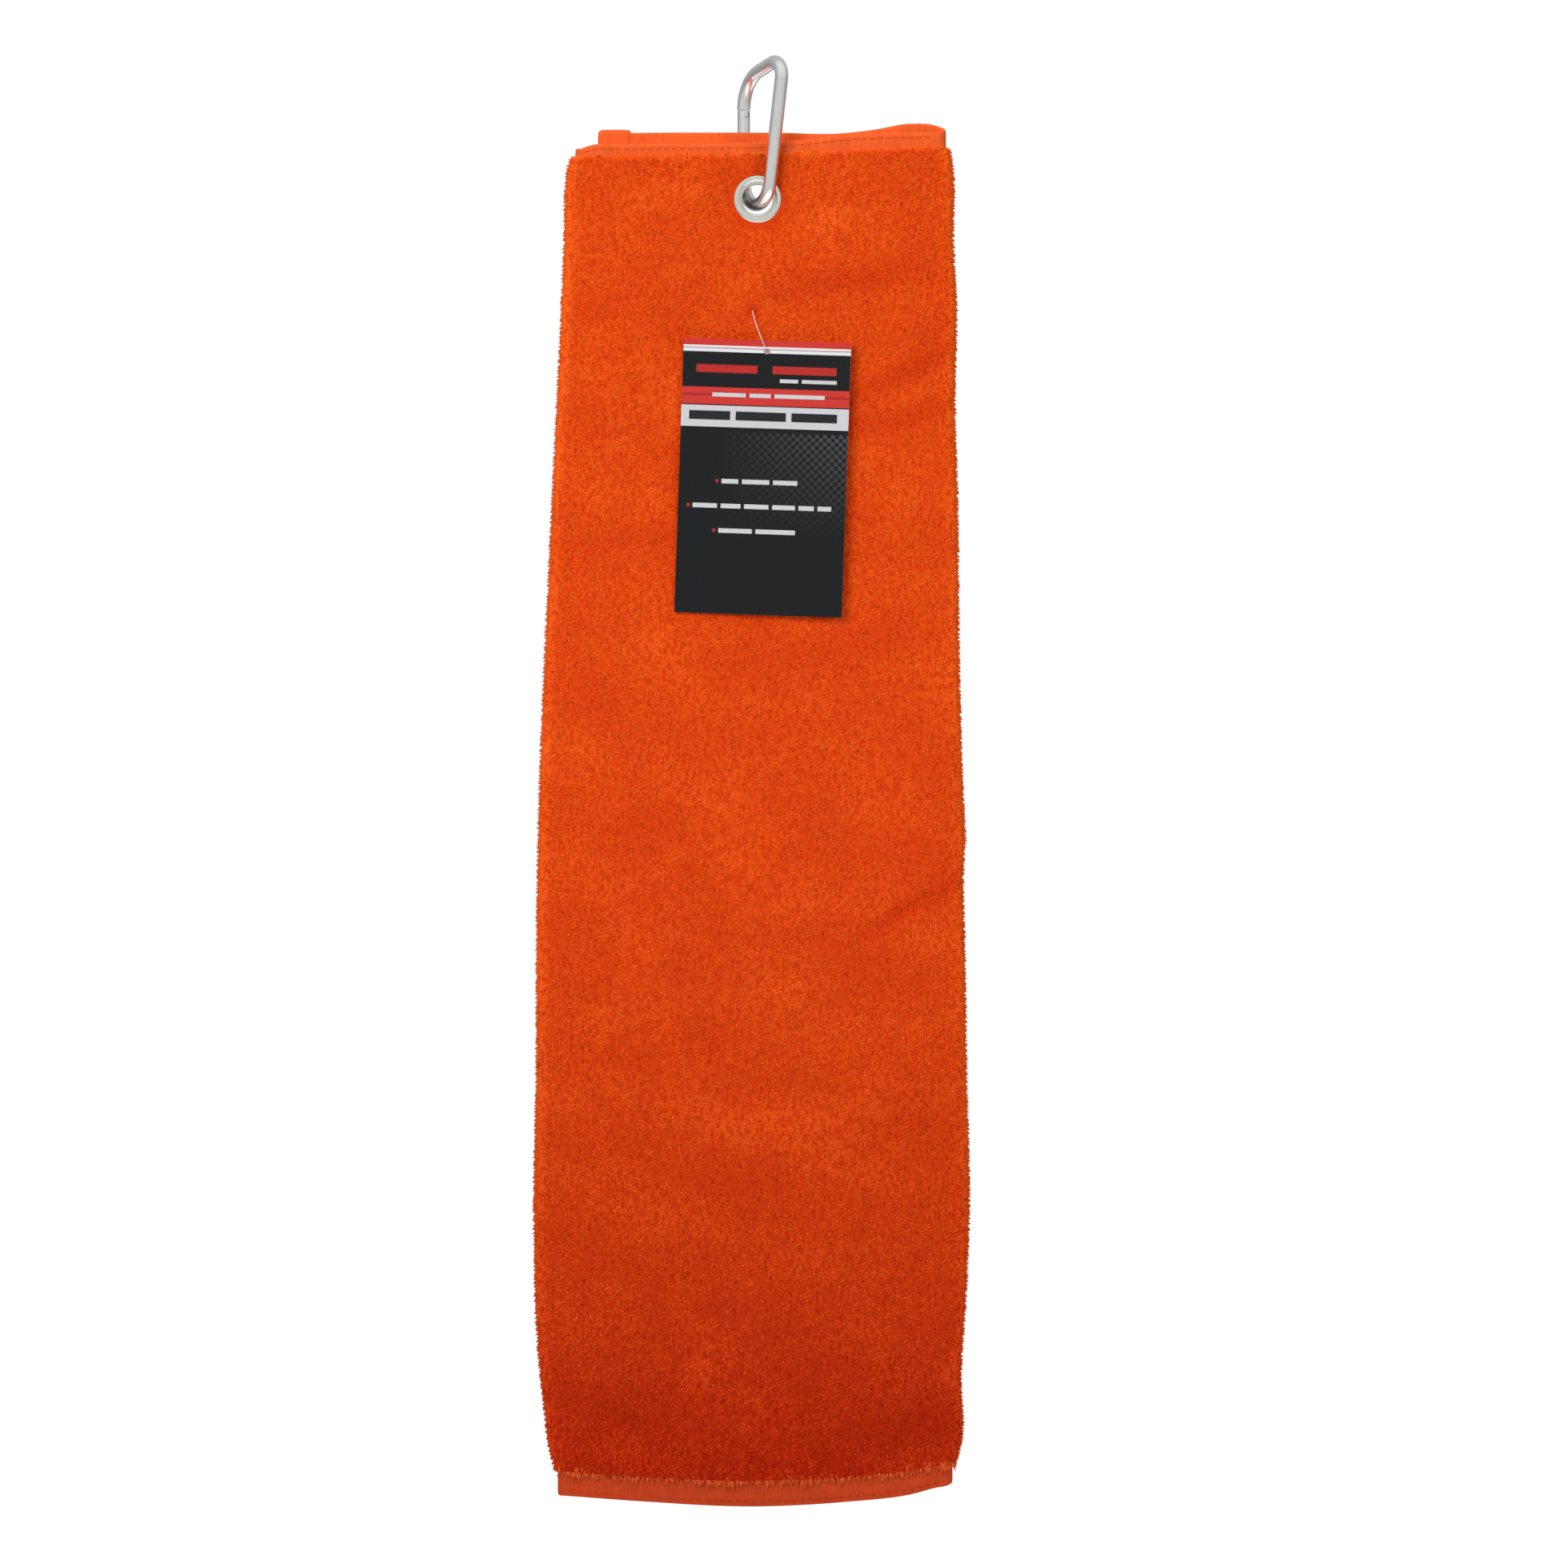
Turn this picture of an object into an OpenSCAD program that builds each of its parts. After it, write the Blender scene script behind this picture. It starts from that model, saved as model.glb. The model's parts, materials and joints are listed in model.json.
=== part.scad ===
// Tri-folded velour towel, hung from a small carabiner through an eyelet,
// with a card hang tag on a moulded nylon fastener.
// X is across the towel, Z is up along its length and -Y is its front.
// Origin: the inside of the carabiner's crown, where a hook carries it.
// Inside the modules every place is measured from the centre of the eyelet's hole.

/* [Towel pack] */
// Front edge of the folded pack: half of its full thickness
pack_half = 4.3; // [4.1:0.05:4.6]
// Thickness of one layer of pile cloth
pile_t = 2.7; // [2.5:0.05:2.8]
// Thickness of a woven hem band
hem_t = 1.9; // [1.6:0.05:2]
// Half thickness of the pack along its woven hems
hem_half = 3.1; // [3:0.05:3.3]
// Half thickness of the pack where the eyelet clamps it
clamp_half = 2.5; // [2.3:0.05:2.6]
// How far the woven bands stand in from the pile's folds
hem_inset = 2.5; // [1:0.1:4]
// Width of a side hem
side_hem_w = 11; // [8:0.5:14]
// Gap between the free edge of the inner layer and the right fold
inner_edge_gap = 1; // [0.5:0.1:4]
// Free side edge of the rear layer at its top
rear_edge_top = -52.4; // [-54:0.1:-48]
// Free side edge of the rear layer at its bottom
rear_edge_low = -60; // [-62:0.1:-54]

/* [Rear flap crease] */
// Where the crease crosses the height of the eyelet
crease_x = -9.2; // [-11:0.1:-9.1]
// Where the crease meets the foot of the rear layer
crease_foot_x = 58; // [50:0.5:59]
// Gap between the two cut faces along the crease
crease_gap = 0.3; // [0.2:0.05:0.6]

/* [Eyelet] */
// Radius of the eyelet's hole
hole_r = 5; // [4.8:0.05:5.2]
// Outer radius of its two flanges
flange_r = 8; // [7.5:0.1:8.2]
// Sheet thickness of the flanges and barrel
eyelet_t = 0.4; // [0.3:0.05:0.5]
// Radius of the rolled lip around the hole
lip_r = 0.5; // [0.4:0.05:0.6]

/* [Carabiner] */
// Radius of the bar
bar_r = 2.2; // [2:0.05:2.3]
// Angle of the carabiner's plane from the towel's front
cara_turn = 58; // [57:0.5:60]
// Lean of the spine away from the gate
spine_lean = 12; // [10:0.5:13]
// Radius of the lower bend, at the bar's centre
low_bend_r = 8.2; // [8:0.1:8.4]
// Height of the lower bend's centre above the eyelet's centre
low_bend_w = 6.6; // [6.4:0.1:6.8]
// Height of the nose, where the frame stops and the gate begins
nose_w = 30; // [29:0.1:31]
// Radius of the crown's bend on the gate side
crown_left_r = 12.5; // [12:0.1:13]
// Radius of the crown's bend on the spine side
crown_right_r = 4.6; // [4.2:0.1:5]
// Height of the crown's top, at the bar's centre
crown_top_w = 44.5; // [44:0.1:45]

/* [Gate] */
// Outer radius of the gate tube
gate_r = 2.1; // [1.9:0.05:2.2]
// Radius of the bore for the spring and plunger
gate_bore_r = 1.2; // [1:0.05:1.3]
// Radius of the hinge pin
pin_r = 0.7; // [0.5:0.05:0.8]
// Thickness of the tongues at the hinge and the nose
tongue_t = 1.5; // [1.3:0.05:1.6]
// Wire radius of the gate's spring
spring_wire_r = 0.18; // [0.15:0.01:0.2]
// Number of turns of the spring
spring_turns = 7; // [5:1:9]

/* [Hang tag] */
// Width of the card
tag_w = 55; // [50:1:60]
// Height of the card
tag_h = 90; // [85:1:95]
// Thickness of the card
tag_t = 0.5; // [0.4:0.05:0.6]
// Clockwise roll of the card as seen from the front
tag_roll = 2; // [0:0.5:3]
// Turn of the card that lifts its right side off the pile
tag_lift_turn = 3; // [2:0.5:3.5]
// Radius of the punched hole
tag_hole_r = 1; // [0.8:0.05:1.5]
// Distance of the hole below the card's top edge
tag_hole_down = 3.7; // [3.5:0.1:5]

/* [Hidden] */
$fn = 48;
eps = 0.05;
// the straight stretches of the bar are a hair thicker than its bends, and lap onto them
bar_lap = 0.25;
bar_step = 0.02;
// clearance where one woven band ends against another, and where it meets the pile
hem_join = 0.1;
pile_gap = 0.02;
layer_gap = (2*pack_half - 3*pile_t)/2;
hem_gap = (2*hem_half - 3*hem_t)/2;

// the two fold edges of the pile: height, then place across
left_edge = [[-418, -66.6], [-398, -70], [-377, -72.2], [-334, -73.6], [-242, -72.9],
             [-196, -71.8], [-105, -67.9], [-14, -63.8], [20, -62.6]];
right_edge = [[-416, 65.6], [-406, 67.4], [-388, 67.6], [-357, 69], [-333, 69.8], [-286, 69],
              [-225, 67.8], [-168, 66.3], [-105, 65.3], [-35, 65], [20, 64.4]];
// top and bottom edges of the cloth, and the lines where its pile begins: across, then height
front_top = [[-66, 17.2], [-45, 17.9], [-7, 18.4], [9, 19], [32, 21.3], [66, 22]];
rear_top = [[-42, 21.4], [27, 21.3], [40, 23.4], [52, 25], [58, 23.4], [66, 23.8]];
pile_top = [[-66, 13.7], [0, 14.6], [66, 17]];
front_foot = [[-66, -425.6], [-38, -427.5], [-1, -429.3], [50, -425.3], [60, -422.1], [66, -421.6]];
rear_foot = [[-66, -423], [0, -424.5], [66, -420.4]];
pile_foot = [[-66, -417.4], [0, -420.5], [66, -415]];
side_hem_top = 23.1;
rear_top_z = 23;
foot_z = -424;

// the lowest and highest heights of the pile along each fold
left_low = -417.7;
left_high = 13.8;
right_low = -415.5;
right_high = 16.8;

left_r = (2*pile_t + layer_gap)/2;
right_r = pack_half;
fold_in = layer_gap/2;
left_cy = -pack_half + left_r;
left_hem_r = (2*hem_t + hem_gap)/2;
left_hem_cy = -hem_half + left_hem_r;

puncture = [-1.5, -36.7];
tag_centre = [1.75, -6.9, -91.6];
// the fastener's route from the puncture, over the card's top edge, into its hole
filament_route = [[-1.5, -4.7, -36.7], [-1.6, -6.1, -37], [-1.4, -7.5, -38.2], [-0.8, -8.6, -40.4],
                  [0.1, -9.1, -43], [1.1, -9.2, -45.6], [2.1, -8.9, -48], [2.85, -8.2, -49.7],
                  [3.08, -7.2, -50.3], [3.08, -6, -50.3]];
filament_r = 0.23;
paddle = [6, 0.5, 1.6];
// the fastener's T bar, its depth behind the front layer, and the slit it passed through
tbar_len = 8.4;
tbar_r = 0.45;
tbar_y = -2.2;
slit_r = 0.6;
// radii of the pressed recess around the eyelet, at its floor and at the pile's face
dish_low_r = 9;
dish_high_r = 18;

// carabiner geometry in its own plane: u towards the spine, w up
gate_u = -8.6;
low_bend_u = gate_u + low_bend_r;
spine_foot = [low_bend_u + low_bend_r*cos(spine_lean), low_bend_w - low_bend_r*sin(spine_lean)];
crown_left_c = [gate_u + crown_left_r, nose_w];
crown_right_w = crown_top_w - crown_right_r;
crown_right_u = spine_foot[0] - crown_right_r*cos(spine_lean)
                + (crown_right_w - crown_right_r*sin(spine_lean) - spine_foot[1])*tan(spine_lean);
// direction in which the crown runs between its two bends
crown_gap = [crown_right_u - crown_left_c[0], crown_right_w - crown_left_c[1]];
crown_len = norm(crown_gap);
crown_slope = atan2(crown_gap[1], crown_gap[0]) - asin((crown_left_r - crown_right_r)/crown_len);
crown_line_len = sqrt(crown_len*crown_len - pow(crown_left_r - crown_right_r, 2));
crown_start = crown_left_c + crown_left_r*[-sin(crown_slope), cos(crown_slope)];
spine_len = (crown_right_w - crown_right_r*sin(spine_lean) - spine_foot[1])/cos(spine_lean);
hinge_w = 9.2;
gate_high = nose_w - 0.3;
tongue_end_r = 1.7;
spring_low = 14.6;
plunger_low = hinge_w + tongue_end_r + 0.3;
spring_high = 23.6;
seat_u = crown_right_u;
seat = [seat_u*cos(cara_turn), -seat_u*sin(cara_turn), crown_right_w + crown_right_r - bar_r];

function left_x(z) = lookup(z, left_edge);
function right_x(z) = lookup(z, right_edge);
function span(a, b, n) = [for (i = [0:n]) a + (b - a)*i/n];
function flip(v) = [for (i = [len(v) - 1:-1:0]) v[i]];
function rear_edge(z) = rear_edge_top + (rear_edge_low - rear_edge_top)*(rear_top_z - z)/(rear_top_z - foot_z);
function crease_at(z) = crease_x + (crease_foot_x - crease_x)*z/foot_z;
function stretched(line) = concat([[-90, line[0][1]]], line, [[90, line[len(line) - 1][1]]]);

// direction of the filament's route at one of its points, and a direction square to it
function heading(i) = filament_route[min(i + 1, len(filament_route) - 1)] - filament_route[max(i - 1, 0)];
function across(d) = cross(d, [1, 0, 0])/norm(cross(d, [1, 0, 0]));

left_heights = span(left_low, left_high, 14);
right_heights = span(right_low, right_high, 14);
// the same, running on a little past the cloth for cutting
tall_left = concat([-430], left_heights, [26]);
tall_right = concat([-430], right_heights, [26]);

// places everything measured from the eyelet's hole into the part's own frame
module from_seat() translate(-seat) children();

// a flat layer: an outline in x and z, standing between two depths
module layer(y0, y1) translate([0, y1, 0]) rotate([90, 0, 0]) linear_extrude(y1 - y0) children();

// a disc or cone along the eyelet's axis, from depth y0 to depth y1
module round_y(y0, y1, r0, r1) translate([0, y1, 0]) rotate([90, 0, 0])
    cylinder(h = y1 - y0, r1 = r1, r2 = r0);

// the dished recess that the eyelet's clamping presses into the pile on one side
module dish(side) mirror([0, side > 0 ? 0 : 1, 0]) {
    round_y(clamp_half, pack_half + eps, dish_low_r, dish_high_r);
}

module eyelet_hole() round_y(-10, 10, hole_r + eyelet_t + 0.2, hole_r + eyelet_t + 0.2);

// half plane on one side of the rear layer's crease
module crease_side(side) {
    shift = side*crease_gap/2;
    top = [crease_at(60) + shift, 60];
    foot = [crease_at(-460) + shift, -460];
    polygon([top, foot, [side*200, -460], [side*200, 60]]);
}

// everything between the lines where the pile begins
module pile_zone() polygon(concat(stretched(pile_foot), flip(stretched(pile_top))));

// outline of one pile layer between two side insets
module pile_outline(left_in, right_in) intersection() {
    pile_zone();
    polygon(concat([for (z = tall_left) [left_x(z) + left_in, z]],
                   [for (z = flip(tall_right)) [right_x(z) - right_in, z]]));
}

// outline of a woven band between two tables of heights, stopping where the pile begins
module band(low_line, high_line, x0, x1) difference() {
    xs = span(x0, x1, 16);
    polygon(concat([for (x = xs) [x, lookup(x, low_line)]],
                   [for (x = flip(xs)) [x, lookup(x, high_line)]]));
    offset(delta = pile_gap) pile_zone();
}

// a strip of cloth rolled through half a turn along a fold edge
module fold_roll(heights, table, side, centre_y, r_out, r_in, inset) {
    n = 10;
    angles = span(90, 270, n);
    ring = [for (k = [0:1], a = (k == 0 ? angles : flip(angles)))
                let (r = k == 0 ? r_out : r_in) [side*-r*cos(a), r*sin(a)]];
    m = len(ring);
    points = [for (z = heights, p = ring)
                 [lookup(z, table) - side*(r_out + inset) + p[0], centre_y + p[1], z]];
    last = (len(heights) - 1)*m;
    walls = [for (i = [0:len(heights) - 2], j = [0:m - 1])
                let (a = i*m + j, b = i*m + (j + 1)%m) [a, b, b + m, a + m]];
    caps = [for (j = [0:n - 1]) let (k = m - 1 - j) [j + 1, j, k, k - 1]];
    far_caps = [for (c = caps) flip([for (v = c) v + last])];
    faces = concat(walls, caps, far_caps);
    polyhedron(points, side > 0 ? [for (f = faces) flip(f)] : faces);
}

module front_panel() color([0.90, 0.28, 0.09]) from_seat() difference() {
    layer(-pack_half, -pack_half + pile_t) pile_outline(left_r, right_r);
    dish(-1);
    eyelet_hole();
    translate([puncture[0], 0, puncture[1]]) round_y(-10, 0, slit_r, slit_r);
    translate([puncture[0] - tbar_len/2 - 0.4, tbar_y - 0.7, puncture[1] - 0.8]) cube([tbar_len + 0.8, 3, 1.6]);
}

module left_fold() color([0.88, 0.26, 0.08]) from_seat()
    fold_roll(left_heights, left_edge, -1, left_cy, left_r, fold_in, 0);

module right_fold() color([0.88, 0.26, 0.08]) from_seat()
    fold_roll(right_heights, right_edge, 1, 0, right_r, pack_half - pile_t, 0);

module inner_panel() color([0.80, 0.22, 0.07]) from_seat() difference() {
    layer(-pile_t/2, pile_t/2) pile_outline(left_r, right_r + inner_edge_gap + side_hem_w);
    eyelet_hole();
}

module inner_side_hem() color([0.78, 0.20, 0.06]) from_seat()
    layer(-hem_t/2, hem_t/2) intersection() {
        pile_zone();
        polygon(concat([for (z = tall_right) [right_x(z) - right_r - inner_edge_gap, z]],
                       [for (z = flip(tall_right)) [right_x(z) - right_r - inner_edge_gap - side_hem_w, z]]));
    }

// the whole rear layer's outline, free edge to right fold, without its side hem
module rear_outline() intersection() {
    pile_zone();
    polygon(concat([for (z = [26, -430]) [rear_edge(z) + side_hem_w + hem_join, z]],
                   [for (z = tall_right) [right_x(z) - right_r, z]]));
}

module rear_layer() difference() {
    layer(pack_half - pile_t, pack_half) children();
    dish(1);
    eyelet_hole();
}

module rear_panel() color([0.84, 0.24, 0.08]) from_seat()
    rear_layer() intersection() { rear_outline(); crease_side(1); }

module rear_flap() color([0.84, 0.24, 0.08]) from_seat()
    rear_layer() intersection() { rear_outline(); crease_side(-1); }

module front_top_hem() color([0.93, 0.33, 0.13]) from_seat()
    layer(-hem_half, -hem_half + hem_t)
    band(pile_top, front_top, left_x(17) + hem_inset + left_hem_r + hem_join,
         right_x(22) - hem_inset - hem_half - hem_join);

module front_bottom_hem() color([0.80, 0.22, 0.08]) from_seat()
    layer(-hem_half, -hem_half + hem_t)
    band(front_foot, pile_foot, left_x(-420) + hem_inset/2 + left_hem_r + hem_join,
         right_x(-418) - hem_inset/2 - hem_half - hem_join);

module inner_top_hem() color([0.78, 0.20, 0.06]) from_seat()
    layer(-hem_t/2, hem_t/2)
    band(pile_top, front_top, left_x(17) + hem_inset + left_hem_r + hem_join, 55);

module inner_bottom_hem() color([0.76, 0.20, 0.06]) from_seat()
    layer(-hem_t/2, hem_t/2)
    band(front_foot, pile_foot, left_x(-420) + hem_inset/2 + left_hem_r + hem_join, 56);

module rear_top_hem() color([0.86, 0.26, 0.10]) from_seat()
    layer(hem_half - hem_t, hem_half) intersection() {
        band(pile_top, rear_top, -40, right_x(22) - hem_inset - hem_half - hem_join);
        crease_side(1);
    }

module flap_top_hem() color([0.86, 0.26, 0.10]) from_seat()
    layer(hem_half - hem_t, hem_half) intersection() {
        band(pile_top, rear_top, rear_edge(26) + side_hem_w + hem_join, 0);
        crease_side(-1);
    }

module flap_bottom_hem() color([0.80, 0.22, 0.08]) from_seat()
    layer(hem_half - hem_t, hem_half) intersection() {
        band(rear_foot, pile_foot, rear_edge(-415) + side_hem_w + hem_join, 60);
        crease_side(-1);
    }

// the side hem runs the full height and lies on the inner layer's pile
module flap_side_hem() color([0.84, 0.24, 0.09]) from_seat()
    layer(pack_half - pile_t, pack_half - pile_t + hem_t)
    polygon([[rear_edge(side_hem_top), side_hem_top - 1], [rear_edge(side_hem_top) + 1, side_hem_top],
             [rear_edge(side_hem_top) + side_hem_w - 1, side_hem_top],
             [rear_edge(side_hem_top) + side_hem_w, side_hem_top - 1],
             [rear_edge(-423) + side_hem_w, -423], [rear_edge(-423), -423]]);

// the short stretches where the woven bands turn round the two folds
module hem_fold_ends() color([0.82, 0.24, 0.09]) from_seat() {
    fold_roll([13.9, 16.9], left_edge, -1, left_hem_cy, left_hem_r, hem_gap/2, hem_inset);
    fold_roll([17.2, 21.7], right_edge, 1, 0, hem_half, hem_half - hem_t, hem_inset);
    fold_roll([-425.4, -417.8], left_edge, -1, left_hem_cy, left_hem_r, hem_gap/2, hem_inset/2);
    fold_roll([-421.5, -415.6], right_edge, 1, 0, hem_half, hem_half - hem_t, hem_inset/2);
}

// a run of thread lying on a band, between two places
module thread_run(from, to, y) {
    run = to - from;
    translate([from[0], y, from[1]]) rotate([0, -atan2(run[1], run[0]), 0])
        translate([0, -0.15, -0.2]) cube([norm(run), 0.3, 0.4]);
}

module front_hem_stitches() color([0.86, 0.30, 0.12]) from_seat() {
    y = -hem_half - 0.15;
    thread_run([-60, -419.6], [0, -421.6], y);
    thread_run([0.5, -421.6], [58, -417.4], y);
    thread_run([-56, 15.2], [56, 18], y);
}

module flap_side_stitches() color([0.86, 0.30, 0.12]) from_seat()
    thread_run([rear_edge(-415) + side_hem_w - 1.5, -415], [rear_edge(10) + side_hem_w - 1.5, 10],
               pack_half - pile_t + hem_t + 0.15);

// front flange, rolled lip, barrel and the rolled tail that clamps the washer
module grommet_eyelet() color([0.72, 0.73, 0.70]) from_seat()
    rotate([90, 0, 0]) rotate_extrude() {
        translate([hole_r, clamp_half]) square([flange_r - hole_r - eyelet_t/2, eyelet_t]);
        translate([flange_r - eyelet_t/2, clamp_half + eyelet_t/2]) circle(d = eyelet_t, $fn = 16);
        translate([hole_r + lip_r, clamp_half + lip_r + 0.03]) circle(r = lip_r, $fn = 24);
        translate([hole_r, -clamp_half - eyelet_t - lip_r])
            square([eyelet_t, 2*clamp_half + 1.5*eyelet_t + lip_r]);
        translate([hole_r + lip_r, -clamp_half - eyelet_t - lip_r - 0.03]) circle(r = lip_r, $fn = 24);
    }

module grommet_washer() color([0.70, 0.71, 0.68]) from_seat()
    rotate([-90, 0, 0]) rotate_extrude() {
        translate([hole_r + eyelet_t + 0.02, clamp_half])
            square([flange_r - hole_r - 1.5*eyelet_t - 0.02, eyelet_t]);
        translate([flange_r - eyelet_t/2, clamp_half + eyelet_t/2]) circle(d = eyelet_t, $fn = 16);
    }

// maps the carabiner's own plane (u, w) onto the part
module in_plane() rotate([0, 0, -cara_turn]) rotate([90, 0, 0]) children();

// a bend of the bar about a centre, between two angles in the plane
module bend(centre, r, a0, a1) translate([centre[0], centre[1], 0]) rotate([0, 0, a0])
    rotate_extrude(angle = a1 - a0, $fn = 96) translate([r, 0]) circle(r = bar_r, $fn = 32);

// a straight stretch of bar from a place, along an angle in the plane
// and running on by a lap at both ends, so that it joins its neighbours
module bar(from, angle, length, r, lap = 0) translate([from[0], from[1], 0]) rotate([0, 0, angle])
    rotate([0, 90, 0]) translate([0, 0, -lap]) cylinder(h = length + 2*lap, r = r, $fn = 32);

module carabiner_frame() color([0.80, 0.81, 0.80]) from_seat() in_plane() difference() {
    union() {
        bend([low_bend_u, low_bend_w], low_bend_r, 180, 360 - spine_lean);
        bar(spine_foot, 90 - spine_lean, spine_len, bar_r + bar_step, bar_lap);
        bend([crown_right_u, crown_right_w], crown_right_r, -spine_lean, 90 + crown_slope);
        bar(crown_start, crown_slope, crown_line_len, bar_r + bar_step, bar_lap);
        bend(crown_left_c, crown_left_r, 90 + crown_slope, 180);
        // hinge tongue
        translate([gate_u - tongue_end_r, low_bend_w - eps, -tongue_t/2])
            cube([2*tongue_end_r, hinge_w - low_bend_w + eps, tongue_t]);
        translate([gate_u, hinge_w, -tongue_t/2]) cylinder(h = tongue_t, r = tongue_end_r);
        // nose tongue
        translate([gate_u - 1.5, nose_w - 2.2, -tongue_t/2]) cube([3, 2.2 + eps, tongue_t]);
    }
    translate([gate_u, hinge_w, -5]) cylinder(h = 10, r = pin_r);
}

module gate_pin() color([0.62, 0.62, 0.60]) from_seat() in_plane() {
    translate([gate_u, hinge_w, -2.1]) cylinder(h = 4.2, r = pin_r);
    for (side = [0, 1]) mirror([0, 0, side])
        translate([gate_u, hinge_w, 1.95]) cylinder(h = 0.35, r = 1.1);
}

module gate_tube() color([0.76, 0.77, 0.75]) from_seat() in_plane() difference() {
    union() {
        bar([gate_u, hinge_w], 90, gate_high - hinge_w, gate_r);
        intersection() {
            bar([gate_u, hinge_w - 2.4], 90, 2.4 + eps, gate_r);
            translate([gate_u, hinge_w, -5]) cylinder(h = 10, r = gate_r);
        }
    }
    // fork around the hinge tongue, and slot over the nose tongue
    translate([gate_u - 5, hinge_w - 3, -tongue_t/2 - 0.1]) cube([10, 5.1, tongue_t + 0.2]);
    translate([gate_u - 5, nose_w - 2.6, -tongue_t/2 - 0.15]) cube([10, 3, tongue_t + 0.3]);
    bar([gate_u, hinge_w + 1], 90, 15.5, gate_bore_r);
    translate([gate_u, hinge_w, -5]) cylinder(h = 10, r = pin_r + 0.05);
    // flats under the pin's heads
    for (side = [0, 1]) mirror([0, 0, side]) translate([gate_u - 5, hinge_w - 3, 1.9]) cube([10, 5, 1]);
}

module gate_plunger() color([0.65, 0.65, 0.63]) from_seat() in_plane()
    bar([gate_u, plunger_low], 90, spring_low - plunger_low, gate_bore_r - 0.1);

// helical spring between the plunger and the bore's end
module gate_spring() color([0.55, 0.55, 0.55]) from_seat() in_plane() {
    sides = 6;
    steps = spring_turns*10;
    coil_r = gate_bore_r - spring_wire_r - 0.08;
    low = spring_low + spring_wire_r + 0.02;
    rise = spring_high - spring_low - 2*spring_wire_r - 0.04;
    points = [for (i = [0:steps], j = [0:sides - 1])
                 let (a = 360*spring_turns*i/steps, b = 360*j/sides, r = coil_r + spring_wire_r*cos(b))
                 [gate_u + r*cos(a), low + rise*i/steps + spring_wire_r*sin(b), r*sin(a)]];
    walls = [for (i = [0:steps - 1], j = [0:sides - 1])
                let (a = i*sides + j, b = i*sides + (j + 1)%sides) [a, b, b + sides, a + sides]];
    caps = [[for (j = [sides - 1:-1:0]) j], [for (j = [0:sides - 1]) steps*sides + j]];
    polyhedron(points, [for (f = concat(walls, caps)) flip(f)]);
}

// the fastener's T bar behind the front layer, with the stem through it
module fastener_bar() color([0.92, 0.90, 0.88]) from_seat()
    translate([puncture[0], 0, puncture[1]]) {
        translate([-tbar_len/2, tbar_y, 0]) rotate([0, 90, 0]) cylinder(h = tbar_len, r = tbar_r);
        round_y(tbar_y - 2, tbar_y, filament_r, filament_r);
    }

// the nylon filament, swept along its route, and the paddle behind the card
module tag_filament() color([0.92, 0.86, 0.86]) from_seat() {
    sides = 8;
    count = len(filament_route);
    points = [for (i = [0:count - 1], j = [0:sides - 1])
                 let (d = heading(i)/norm(heading(i)), s = across(d), t = cross(d, s), a = 360*j/sides)
                 filament_route[i] + filament_r*(cos(a)*s + sin(a)*t)];
    walls = [for (i = [0:count - 2], j = [0:sides - 1])
                let (a = i*sides + j, b = i*sides + (j + 1)%sides) [a, b, b + sides, a + sides]];
    caps = [[for (j = [sides - 1:-1:0]) j], [for (j = [0:sides - 1]) (count - 1)*sides + j]];
    polyhedron(points, [for (f = concat(walls, caps)) flip(f)]);
    translate(filament_route[count - 1] + [-paddle[0]/2, -0.1, -paddle[2]/2]) cube(paddle);
}

module hang_tag_card() color([0.10, 0.11, 0.12]) from_seat()
    translate(tag_centre) rotate([0, 0, -tag_lift_turn]) rotate([0, tag_roll, 0]) difference() {
        layer(-tag_t/2, tag_t/2) square([tag_w, tag_h], center = true);
        translate([0, 0, tag_h/2 - tag_hole_down]) round_y(-5, 5, tag_hole_r, tag_hole_r);
    }

carabiner_frame();
gate_pin();
gate_tube();
gate_plunger();
gate_spring();
front_panel();
left_fold();
inner_panel();
inner_side_hem();
right_fold();
rear_panel();
front_top_hem();
front_bottom_hem();
inner_top_hem();
inner_bottom_hem();
rear_top_hem();
hem_fold_ends();
front_hem_stitches();
grommet_eyelet();
grommet_washer();
fastener_bar();
rear_flap();
flap_side_hem();
flap_top_hem();
flap_bottom_hem();
flap_side_stitches();
tag_filament();
hang_tag_card();
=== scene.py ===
"""A tri-folded pile towel hung from a small carabiner through an eyelet, with a card hang tag.

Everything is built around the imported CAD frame. Lengths inside the functions are millimetres measured
from the centre of the eyelet's hole: x across the towel, y to its back, z up.
"""

import json
import math

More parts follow.
